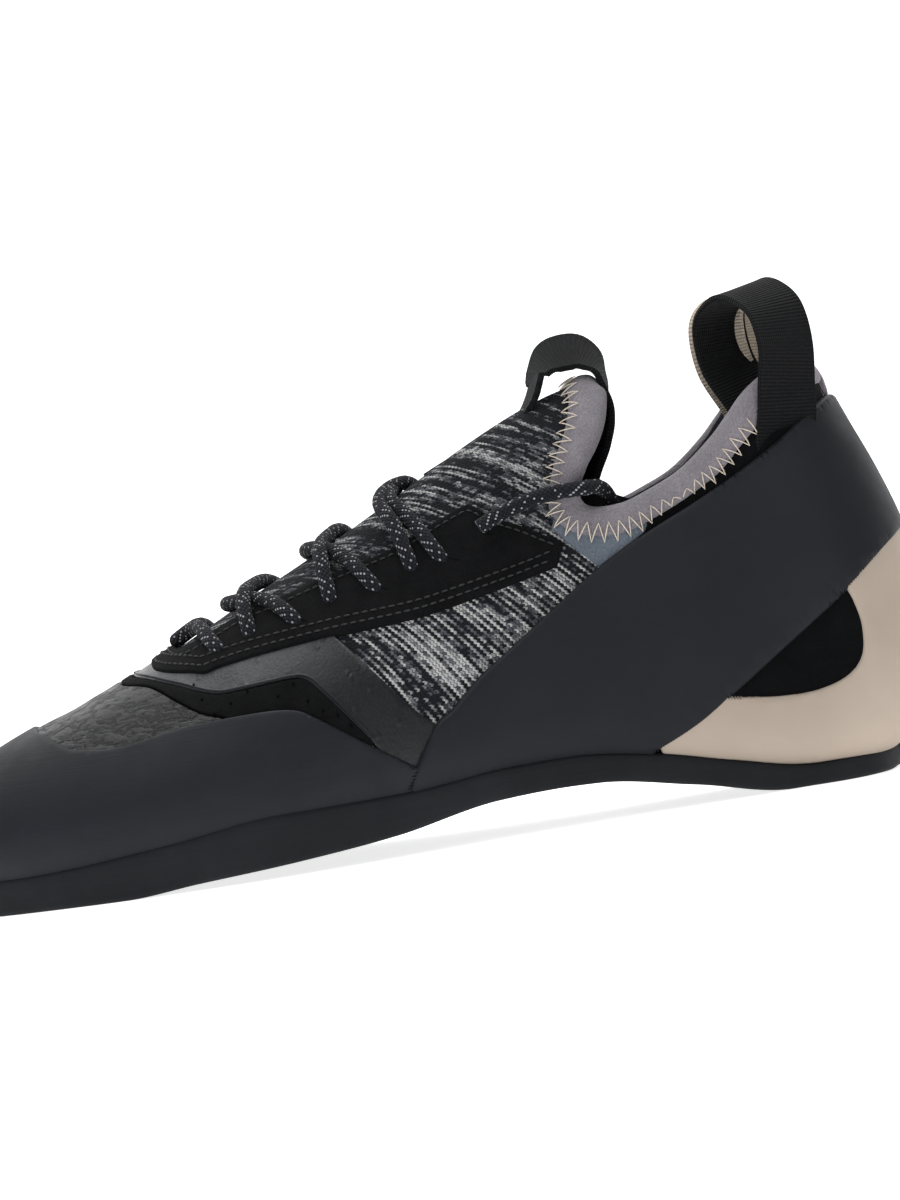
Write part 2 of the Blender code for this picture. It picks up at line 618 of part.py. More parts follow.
def build_collar():
    """The padded binding down the tongue and round the collar."""
    band = np.vstack([
        shifted(curve_through(BINDING_LOW), BUTT_GAP / 2),
        curve_through(BINDING_HIGH)[::-1],
    ])
    binding = last_form("collar_binding", BINDING_OUTSIDE)
    shape_with(binding, helper(last_form("binding_inside", -WALL - BINDING_INSIDE)), "DIFFERENCE")
    shape_with(binding, side_prism("binding_outline", band), "INTERSECT")
    finish("collar_binding", binding, "binding")


def surface_grid(offset):
    """A fine grid on the last moved outwards by offset, and its turns in degrees."""
    turns = np.arange(-90, 272, 2)
    return last_grid(offset, 401, np.radians(turns)), turns


def surface_place(grid, turns, along, up, inner):
    """Row and column, in a fine grid, of the point with this side position on the outer or inner side."""
    side = turns < 90 if inner else turns > 90
    miss = np.hypot(grid[..., 0] - to_x(along), grid[..., 2] - up * INSTEP_HEIGHT)
    miss[:, ~side] = 1
    return np.array(np.unravel_index(np.argmin(miss), miss.shape), dtype=float)


def grid_point(grid, place):
    """Point of a fine grid at a row and column with fractions."""
    i, j = (int(value) for value in place)
    f, g = place[0] - i, place[1] - j
    near = grid[i, j] * (1 - g) + grid[i, j + 1] * g
    far = grid[i + 1, j] * (1 - g) + grid[i + 1, j + 1] * g
    return near * (1 - f) + far * f


def lace_run(start, end):
    """Points from an eyelet on the outer side over the tongue to one on the inner side."""
    lift = CLEARANCE + EYESTAY_THICKNESS + CLEARANCE + LACE_DIAMETER / 2 + CLEARANCE
    grid, turns = surface_grid(lift)
    first = surface_place(grid, turns, *start, inner=False)
    last = surface_place(grid, turns, *end, inner=True)
    shares = np.linspace(0, 1, LACE_STEPS)
    return np.array([grid_point(grid, first + (last - first) * share) for share in shares])


def tube(name, points, diameter):
    """A closed tube along points."""
    ahead = np.gradient(points, axis=0)
    ahead /= np.linalg.norm(ahead, axis=1, keepdims=True)
    vertices = []
    for point, along in zip(points, ahead):
        across = np.cross(along, (1, 0, 0))
        across /= np.linalg.norm(across)
        up = np.cross(across, along)
        for k in range(LACE_SIDES):
            turn = 2 * math.pi * k / LACE_SIDES
            vertices.append(point + diameter / 2 * (across * math.cos(turn) + up * math.sin(turn)))
    return new_mesh(name, vertices, skin_faces(len(points), LACE_SIDES))


def skin_faces(rings, count):
    """Faces of a closed run of rings with count points each, ends included."""
    faces = [tuple(range(count)), tuple((rings - 1) * count + k for k in range(count))[::-1]]
    for ring in range(rings - 1):
        near, far = ring * count, (ring + 1) * count
        for k in range(count):
            nxt = (k + 1) % count
            faces.append((near + k, far + k, far + nxt, near + nxt))
    return faces


def band(name, route, width, across):
    """A closed strip of webbing along a route. The direction across turns from the first to the last."""
    points = np.array([
        (to_x(along), -side * BALL_WIDTH, up * INSTEP_HEIGHT) for along, side, up in route
    ])
    ahead = np.gradient(points, axis=0)
    ahead /= np.linalg.norm(ahead, axis=1, keepdims=True)
    vertices = []
    for k, (point, along) in enumerate(zip(points, ahead)):
        share = k / (len(points) - 1)
        wide = np.array(across[0]) * (1 - share) + np.array(across[1]) * share
        wide -= along * wide.dot(along)
        wide /= np.linalg.norm(wide)
        thick = np.cross(along, wide)
        for a, b in ((-1, -1), (1, -1), (1, 1), (-1, 1)):
            vertices.append(point + a * wide * width / 2 + b * thick * WEBBING_THICKNESS / 2)
    return new_mesh(name, vertices, skin_faces(len(points), 4))


def mirrored(route, forward=0, taller=0):
    """The same route on the inner side, moved forward and made taller above the collar."""
    return tuple(
        (along - forward, 2 * HEEL_MIDDLE - side, up + taller * max(up - 0.9, 0))
        for along, side, up in route
    )


def build_loops():
    """The webbing loops: two at the heel and one on the tongue."""
    outer = band("heel_loop_outer", HEEL_LOOP, HEEL_WEBBING, ((0.86, 0.50, 0), (1, 0.10, 0)))
    finish("heel_loop_outer", outer, "webbing_black")
    inner_route = mirrored(HEEL_LOOP, forward=0.004, taller=0.12)
    inner = band("heel_loop_inner", inner_route, HEEL_WEBBING, ((0.86, -0.50, 0), (1, -0.10, 0)))
    finish("heel_loop_inner", inner, "webbing_beige")
    tongue = band("tongue_loop", TONGUE_LOOP, TONGUE_WEBBING, ((0.98, 0, 0.20), (0.98, 0, 0.20)))
    finish("tongue_loop", tongue, "webbing_black")


def build_lace():
    """The lace: a bar at the front, a crossing at each pair of eyelets, and two ends."""
    bar = tube("lace_bar", lace_run(FIRST_EYELET, FIRST_EYELET), LACE_DIAMETER)
    finish("lace_bar", bar, "lace")
    for number, (front, rear) in enumerate(EYELET_PAIRS, start=1):
        crossing = tube(f"lace_crossing_{number}", lace_run(front, rear), LACE_DIAMETER)
        other = helper(tube(f"lace_strand_{number}", lace_run(rear, front), LACE_DIAMETER))
        shape_with(crossing, other, "UNION")
        finish(f"lace_crossing_{number}", crossing, "lace")
    for name, side in (("lace_end_outer", 1), ("lace_end_inner", -1)):
        curve = bpy.data.curves.new(name, "CURVE")
        curve.dimensions = "3D"
        curve.bevel_depth = LACE_DIAMETER / 2
        curve.bevel_resolution = 2
        curve.use_fill_caps = True
        line = curve.splines.new("POLY")
        line.points.add(len(LACE_END) - 1)
        for point, (x, y, z) in zip(line.points, LACE_END):
            point.co = (x, LACE_MIDDLE + side * (y - LACE_MIDDLE), z, 1)
        cord = bpy.data.objects.new(name, curve)
        bpy.context.scene.collection.objects.link(cord)
        finish(name, cord, "lace")


clear_scene()
cutters = bpy.data.collections.new("cutters")
bpy.context.scene.collection.children.link(cutters)
materials = make_materials()
form_near = helper(last_form("form_near", CLEARANCE))
build_sole()
build_upper()
build_rands()
build_vamp()
build_collar()
build_loops()
build_lace()
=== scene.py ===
"""Dresses the laced climbing shoe in its knit, rubber, suede, webbing and lace.

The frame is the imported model: metres, +Z up, toe towards -X, outer side towards -Y, floor at z = 0.
Every sheet is laid on the same last as the solids, so the pieces lie over each other as on the real shoe.
"""

import logging
import math
from collections.abc import Sequence
from dataclasses import dataclass
from enum import Enum

import bpy
import numpy as np
from mathutils import Matrix, Vector
from mathutils.geometry import delaunay_2d_cdt
from numpy.typing import ArrayLike

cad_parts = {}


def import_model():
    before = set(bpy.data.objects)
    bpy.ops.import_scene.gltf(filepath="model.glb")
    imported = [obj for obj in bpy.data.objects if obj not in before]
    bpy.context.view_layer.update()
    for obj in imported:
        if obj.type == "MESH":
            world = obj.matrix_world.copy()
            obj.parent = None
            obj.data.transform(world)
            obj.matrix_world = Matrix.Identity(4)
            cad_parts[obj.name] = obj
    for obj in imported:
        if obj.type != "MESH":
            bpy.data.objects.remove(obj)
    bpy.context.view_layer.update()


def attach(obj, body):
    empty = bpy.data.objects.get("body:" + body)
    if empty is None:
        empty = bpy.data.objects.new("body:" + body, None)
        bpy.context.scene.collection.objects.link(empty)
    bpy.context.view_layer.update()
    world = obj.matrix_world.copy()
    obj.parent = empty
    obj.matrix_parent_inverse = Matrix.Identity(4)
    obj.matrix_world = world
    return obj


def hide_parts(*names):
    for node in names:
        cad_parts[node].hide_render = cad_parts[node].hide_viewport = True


LOG = logging.getLogger("shoe")

Colour = tuple[float, float, float]
Share = tuple[float, float]
Place = tuple[float, float, float]
Table = Sequence[tuple[float, ...]]
Pairs = list[tuple[np.ndarray, np.ndarray]]
Socket = bpy.types.NodeSocket
Feed = Socket | float | tuple

# The last's sections: under, under_up, over, over_up, outer, inner, ridge, middle, brow, keel
SECTIONS = np.array((
    (0.000, 0.090, 0.000, 0.000, -0.155, 0.155, 0.155, 0.40, 2.1, 2.5),
    (0.005, 0.048, 0.004, 0.082, -0.077, 0.236, 0.155, 0.38, 2.1, 2.6),
    (0.018, 0.026, 0.017, 0.148, 0.000, 0.307, 0.155, 0.37, 2.1, 2.7),
    (0.042, 0.010, 0.040, 0.208, 0.095, 0.363, 0.149, 0.36, 2.1, 2.8),
    (0.075, 0.002, 0.075, 0.264, 0.202, 0.408, 0.137, 0.35, 2.1, 2.9),
    (0.118, 0.000, 0.118, 0.315, 0.304, 0.446, 0.119, 0.34, 2.1, 3.0),
    (0.173, 0.001, 0.169, 0.361, 0.393, 0.471, 0.101, 0.32, 2.1, 3.0),
    (0.236, 0.009, 0.229, 0.407, 0.462, 0.483, 0.083, 0.30, 2.1, 3.0),
    (0.307, 0.018, 0.296, 0.472, 0.505, 0.474, 0.065, 0.28, 2.0, 3.0),
    (0.378, 0.031, 0.362, 0.537, 0.514, 0.438, 0.054, 0.26, 2.0, 3.1),
    (0.453, 0.048, 0.429, 0.595, 0.494, 0.386, 0.048, 0.25, 2.0, 3.2),
    (0.528, 0.072, 0.489, 0.642, 0.444, 0.329, 0.042, 0.24, 2.0, 3.3),
    (0.603, 0.094, 0.544, 0.689, 0.390, 0.289, 0.038, 0.23, 2.0, 3.4),
    (0.682, 0.088, 0.595, 0.758, 0.355, 0.276, 0.036, 0.21, 2.0, 3.5),
    (0.764, 0.050, 0.642, 0.845, 0.340, 0.293, 0.036, 0.20, 2.0, 3.5),
    (0.843, 0.013, 0.678, 0.911, 0.337, 0.314, 0.036, 0.19, 2.1, 3.5),
    (0.910, 0.000, 0.706, 0.940, 0.337, 0.327, 0.036, 0.19, 2.2, 3.3),
    (0.957, 0.023, 0.728, 0.929, 0.337, 0.325, 0.036, 0.21, 2.2, 2.8),
    (0.983, 0.100, 0.743, 0.874, 0.333, 0.321, 0.036, 0.25, 2.3, 2.5),
    (0.996, 0.230, 0.753, 0.775, 0.324, 0.314, 0.036, 0.32, 2.3, 2.3),
    (1.000, 0.380, 0.760, 0.656, 0.310, 0.302, 0.030, 0.40, 2.3, 2.2),
    (0.991, 0.535, 0.767, 0.532, 0.295, 0.288, 0.024, 0.45, 2.3, 2.1),
    (0.974, 0.675, 0.774, 0.423, 0.281, 0.274, 0.018, 0.48, 2.3, 2.1),
    (0.954, 0.805, 0.781, 0.323, 0.267, 0.260, 0.012, 0.50, 2.3, 2.1),
    (0.937, 0.930, 0.788, 0.227, 0.255, 0.250, 0.006, 0.50, 2.3, 2.1),
    (0.930, 1.070, 0.796, 0.123, 0.250, 0.244, 0.000, 0.50, 2.3, 2.1),
))

# The sole seen from the side: shares of the last's length along and of the heel's height up
TREAD = (
    (-0.008, 0.060), (0.008, 0.034), (0.032, 0.013), (0.067, 0.000), (0.213, 0.000), (0.284, 0.015),
    (0.382, 0.031), (0.477, 0.052), (0.575, 0.091), (0.630, 0.095), (0.670, 0.092), (0.760, 0.050),
    (0.855, 0.000), (0.946, 0.000), (0.969, 0.012), (0.993, 0.030),
)
SEAM = (
    (-0.020, 0.072), (0.032, 0.046), (0.099, 0.037), (0.264, 0.070), (0.366, 0.101), (0.493, 0.101),
    (0.587, 0.118), (0.642, 0.119), (0.729, 0.090), (0.800, 0.044), (0.879, 0.003), (0.954, 0.005),
    (1.030, 0.011),
)

# Outlines seen from the side: shares of the last's length along and of the instep's height up
RAND_EDGE = (
    (0.134, 0.480), (0.146, 0.409), (0.158, 0.393), (0.175, 0.368), (0.189, 0.355), (0.229, 0.349),
    (0.284, 0.370), (0.331, 0.378), (0.378, 0.379), (0.402, 0.370), (0.418, 0.348), (0.441, 0.308),
    (0.465, 0.265), (0.485, 0.231), (0.504, 0.196),
)
STRIP_FRONT = (
    (0.213, 0.560), (0.229, 0.483), (0.264, 0.464), (0.292, 0.421), (0.311, 0.393), (0.331, 0.378),
)
STRIP_BACK = (
    (0.229, 0.560), (0.238, 0.500), (0.264, 0.481), (0.290, 0.461), (0.326, 0.431), (0.355, 0.431),
    (0.398, 0.438), (0.414, 0.432), (0.426, 0.403), (0.445, 0.345), (0.469, 0.267),
)
FILM_BACK = ((0.447, 0.514), (0.455, 0.492), (0.489, 0.391), (0.508, 0.332), (0.528, 0.284))
EYESTAY_LOW = (
    (0.258, 0.590), (0.264, 0.515), (0.275, 0.496), (0.303, 0.485), (0.318, 0.479), (0.335, 0.488),
    (0.374, 0.502), (0.447, 0.519), (0.510, 0.527), (0.540, 0.534), (0.587, 0.553), (0.638, 0.577),
    (0.664, 0.592),
)
EYESTAY_HIGH = (
    (0.282, 0.620), (0.288, 0.552), (0.299, 0.540), (0.323, 0.561), (0.357, 0.593), (0.398, 0.620),
    (0.437, 0.646), (0.481, 0.672), (0.516, 0.694), (0.548, 0.727), (0.583, 0.759), (0.593, 0.760),
    (0.611, 0.727), (0.638, 0.694), (0.658, 0.665), (0.674, 0.644),
)
SLING_HIGH = (
    (0.493, 0.143), (0.504, 0.196), (0.528, 0.284), (0.544, 0.310), (0.575, 0.375), (0.607, 0.426),
    (0.658, 0.508), (0.701, 0.574), (0.749, 0.633), (0.800, 0.686), (0.843, 0.735), (0.890, 0.796),
    (0.930, 0.856), (0.960, 0.884), (1.030, 0.890),
)
SLING_LOW = (
    (0.729, 0.133), (0.774, 0.182), (0.810, 0.238), (0.871, 0.335), (0.930, 0.428), (0.985, 0.526),
    (1.040, 0.600),
)
WINDOW = (
    (0.795, 0.246), (0.810, 0.238), (0.851, 0.222), (0.890, 0.223), (0.918, 0.244), (0.934, 0.284),
    (0.938, 0.348), (0.934, 0.402), (0.930, 0.428), (0.925, 0.456),
)
# How far the heel rand and the window reach up under the sling
UNDER_SLING = 0.0028

BINDING_LOW = (
    (0.701, 1.071), (0.701, 0.985), (0.701, 0.949), (0.693, 0.890), (0.680, 0.831), (0.670, 0.771),
    (0.666, 0.715), (0.678, 0.665), (0.703, 0.639), (0.733, 0.637), (0.764, 0.661), (0.800, 0.699),
    (0.831, 0.741), (0.858, 0.800), (0.890, 0.862), (0.925, 0.896), (0.960, 0.906), (1.030, 0.910),
)
BINDING_HIGH = (
    (0.733, 1.090), (0.731, 0.998), (0.736, 0.969), (0.733, 0.915), (0.721, 0.855), (0.705, 0.799),
    (0.696, 0.748), (0.704, 0.714), (0.733, 0.710), (0.762, 0.732), (0.792, 0.764), (0.823, 0.820),
    (0.843, 0.867), (0.862, 0.912), (0.885, 0.946), (0.910, 0.960), (0.940, 0.952), (1.030, 0.940),
)

# The routes of the webbing and of the lace's two ends
HEEL_LOOP = (
    (0.9045, 0.290, 0.905), (0.9100, 0.284, 1.001), (0.9060, 0.247, 1.086), (0.8925, 0.182, 1.131),
    (0.8770, 0.112, 1.143), (0.8600, 0.055, 1.109), (0.8540, 0.034, 1.056), (0.8580, 0.040, 0.974),
    (0.8747, 0.085, 0.888), (0.8865, 0.125, 0.815),
)
HEEL_LOOP_FOOT = ((0.8950, 0.742), (0.8975, 0.772), (0.9000, 0.808), (0.9015, 0.850))
FOOT_LIFTS = (-0.0030, -0.0023, -0.0008, 0.0012)
HEEL_MIDDLE = 0.0048
INNER_LOOP_AHEAD = 0.002
INNER_LOOP_DOWN = 0.004
TONGUE_LOOP = (
    (0.668, -0.050, 0.985), (0.676, -0.050, 1.026), (0.688, -0.050, 1.057), (0.703, -0.050, 1.066),
    (0.719, -0.050, 1.061), (0.732, -0.050, 1.032), (0.7370, -0.050, 0.992), (0.7385, -0.050, 0.948),
    (0.735, -0.050, 0.905), (0.727, -0.050, 0.858), (0.715, -0.050, 0.802), (0.706, -0.050, 0.752),
)
TONGUE_STRAP = (0.560, 0.590, 0.620, 0.642)
LINING_FOLD = ((0.676, 0.850), (0.700, 0.780), (0.722, 0.737), (0.760, 0.695), (0.800, 0.690))
LACE_END = (
    (-0.0774, -0.0226, 0.0742), (-0.0735, -0.0220, 0.0760), (-0.0690, -0.0217, 0.0775),
    (-0.0640, -0.0214, 0.0788), (-0.0590, -0.0214, 0.0795), (-0.0567, -0.0217, 0.0796),
    (-0.0545, -0.0220, 0.0796), (-0.0510, -0.0208, 0.0795), (-0.0484, -0.0178, 0.0794),
    (-0.0464, -0.0144, 0.0784), (-0.0450, -0.0114, 0.0758), (-0.0442, -0.0096, 0.0718),
    (-0.0438, -0.0088, 0.0672), (-0.0436, -0.0084, 0.0622), (-0.0434, -0.0082, 0.0572),
)
LACE_MIDDLE = 0.0018

# Small round holes in the strip
PERFORATIONS = (
    (0.307, 0.454), (0.313, 0.421), (0.323, 0.386), (0.340, 0.404), (0.357, 0.425),
    (0.385, 0.404), (0.401, 0.425), (0.412, 0.383), (0.425, 0.356), (0.438, 0.341),
    (0.449, 0.315),
)

# Short cuts in the eyestay, from each rear eyelet down and back
SLITS = (
    ((0.330, 0.534), (0.341, 0.517)), ((0.408, 0.572), (0.424, 0.556)), ((0.489, 0.613), (0.505, 0.597)),
    ((0.558, 0.653), (0.575, 0.637)), ((0.596, 0.700), (0.610, 0.680)),
)

# The two strands of each crossing: outer places from the eyelet up, ridge places, inner places
STRANDS = (
    (
        (((0.3640, 0.560, -0.0006), (0.3640, 0.584, 0.0026), (0.3660, 0.622, 0.0042)),
         ((0.3760, 6, 0.0024), (0.3860, -6, 0.0019)),
         ((0.4100, 0.566, -0.0006), (0.4070, 0.590, 0.0020), (0.4000, 0.630, 0.0019))),
        (((0.4120, 0.570, -0.0006), (0.4010, 0.598, 0.0020), (0.3800, 0.630, 0.0019)),
         ((0.3560, 8, 0.0020), (0.3500, -6, 0.0019)),
         ((0.3640, 0.558, -0.0006), (0.3630, 0.584, 0.0020), (0.3580, 0.612, 0.0019))),
    ),
    (
        (((0.4460, 0.606, -0.0006), (0.4450, 0.636, 0.0026), (0.4450, 0.690, 0.0044)),
         ((0.4530, 8, 0.0021), (0.4660, -6, 0.0018)),
         ((0.4910, 0.610, -0.0006), (0.4880, 0.640, 0.0020), (0.4800, 0.695, 0.0019))),
        (((0.4930, 0.612, -0.0006), (0.4810, 0.648, 0.0020), (0.4620, 0.700, 0.0019)),
         ((0.4400, 8, 0.0020), (0.4330, -6, 0.0019)),
         ((0.4460, 0.604, -0.0006), (0.4450, 0.636, 0.0020), (0.4400, 0.685, 0.0019))),
    ),
    (
        (((0.5280, 0.645, -0.0006), (0.5240, 0.680, 0.0026), (0.5170, 0.740, 0.0044)),
         ((0.5110, 18, 0.0038), (0.5200, 4, 0.0027), (0.5380, -10, 0.0020)),
         ((0.5600, 0.650, -0.0006), (0.5600, 0.690, 0.0020), (0.5560, 0.760, 0.0019))),
        (((0.5600, 0.652, -0.0006), (0.5480, 0.692, 0.0020), (0.5330, 0.752, 0.0020)),
         ((0.5200, 14, 0.0020), (0.5240, -2, 0.0019)),
         ((0.5280, 0.642, -0.0006), (0.5290, 0.690, 0.0020), (0.5280, 0.760, 0.0019))),
    ),
)


class Side(Enum):
    """The two sides of the shoe."""

    OUTER = "outer"
    INNER = "inner"


def eased(
    f: np.ndarray, start: np.ndarray, end: np.ndarray, leaving: np.ndarray, arriving: np.ndarray,
) -> np.ndarray:
    """Values between two ends, with a slope given at each.

    Args:
        f: Share of the way.
        start: Value at the start.
        end: Value at the end.
        leaving: Slope at the start.
        arriving: Slope at the end.

    Returns:
        One value for each share.
    """
    return (
        (2 * f**3 - 3 * f**2 + 1) * start + (f**3 - 2 * f**2 + f) * leaving
        + (3 * f**2 - 2 * f**3) * end + (f**3 - f**2) * arriving
    )


def spline(rows: ArrayLike, at: ArrayLike) -> np.ndarray:
    """Points on a smooth curve through a table.

    Args:
        rows: The table's rows.
        at: Row numbers, with fractions.

    Returns:
        One point for each row number.
    """
    rows = np.asarray(rows, dtype=float)
    slopes = np.empty_like(rows)
    slopes[1:-1] = (rows[2:] - rows[:-2]) / 2
    slopes[0] = (-3 * rows[0] + 4 * rows[1] - rows[2]) / 2
    slopes[-1] = (3 * rows[-1] - 4 * rows[-2] + rows[-3]) / 2
    at = np.asarray(at, dtype=float)
    row = np.clip(at.astype(int), 0, len(rows) - 2)
    f = (at - row)[..., None]
    return eased(f, rows[row], rows[row + 1], slopes[row], slopes[row + 1])


def runs(line: np.ndarray) -> np.ndarray:
    """Distance along a line to each of its points."""
    return np.concatenate([[0], np.cumsum(np.linalg.norm(np.diff(line, axis=0), axis=1))])


def unit(vectors: np.ndarray) -> np.ndarray:
    """The same directions at length one."""
    return vectors / np.maximum(np.linalg.norm(vectors, axis=-1, keepdims=True), 1e-12)


def evenly(points: np.ndarray, step: float, closed: bool = False) -> np.ndarray:
    """The same line with points an even step apart.

    Args:
        points: The line's points.
        step: Distance between the new points.
        closed: Whether the line returns to its first point.

    Returns:
        The new points.
    """
    line = np.vstack([points, points[:1]]) if closed else points
    run = runs(line)
    count = max(2, int(round(run[-1] / step)))
    places = np.linspace(0, run[-1], count + 1)
    if closed:
        places = places[:-1]
    return np.column_stack([np.interp(places, run, line[:, k]) for k in range(line.shape[1])])


def steady(points: Table, x: ArrayLike, height: float) -> np.ndarray:
    """Height at x of a side outline that never swings past its points.

    Args:
        points: The outline's points, as shares along and up.
        x: World x of the places.
        height: The size that the shares up stand for.

    Returns:
        The height at each place.
    """
    along = np.array([LAST.x(point[0]) for point in points])
    up = np.array([point[1] * height for point in points])
    steps = np.diff(along)
    rises = np.diff(up) / steps
    slopes = np.zeros(len(points))
    same_way = rises[1:] * rises[:-1] > 0
    mean = 2 * rises[1:] * rises[:-1] / np.where(same_way, rises[1:] + rises[:-1], 1)
    slopes[1:-1] = np.where(same_way, mean, 0)
    slopes[0], slopes[-1] = rises[0], rises[-1]
    x = np.clip(np.asarray(x, dtype=float), along[0], along[-1])
    i = np.clip(np.searchsorted(along, x) - 1, 0, len(points) - 2)
    f = (x - along[i]) / steps[i]
    return eased(f, up[i], up[i + 1], slopes[i] * steps[i], slopes[i + 1] * steps[i])


@dataclass(frozen=True)
class Crease:
    """A soft trough or ridge, placed in side view, in shares as the outlines are."""

    start: Share
    end: Share
    width: float
    height: float


CREASES: tuple[Crease, ...] = (
    Crease((0.165, 0.400), (0.205, 0.455), 0.0016, -0.00035),
    Crease((0.192, 0.385), (0.240, 0.432), 0.0018, 0.00035),
    Crease((0.175, 0.440), (0.214, 0.476), 0.0015, -0.00030),
    Crease((0.296, 0.440), (0.322, 0.478), 0.0018, -0.00035),
    Crease((0.338, 0.450), (0.366, 0.492), 0.0020, 0.00030),
    Crease((0.500, 0.330), (0.566, 0.405), 0.0030, -0.00045),
    Crease((0.476, 0.420), (0.536, 0.505), 0.0034, 0.00045),
    Crease((0.560, 0.745), (0.606, 0.840), 0.0034, -0.00055),
    Crease((0.596, 0.790), (0.650, 0.880), 0.0036, 0.00050),
    Crease((0.630, 0.830), (0.668, 0.905), 0.0030, -0.00045),
    Crease((0.686, 0.655), (0.700, 0.570), 0.0026, -0.00040),
    Crease((0.780, 0.640), (0.800, 0.720), 0.0030, -0.00035),
)


RIDGE = math.pi / 2
LAST_STATION = 24.9
RUN_STATIONS = np.linspace(0, LAST_STATION, 250)
GIRTH = 0.036

# How near its target a located point has to be, loosely and strictly
NEAR = 0.0003
EXACT = 0.00005


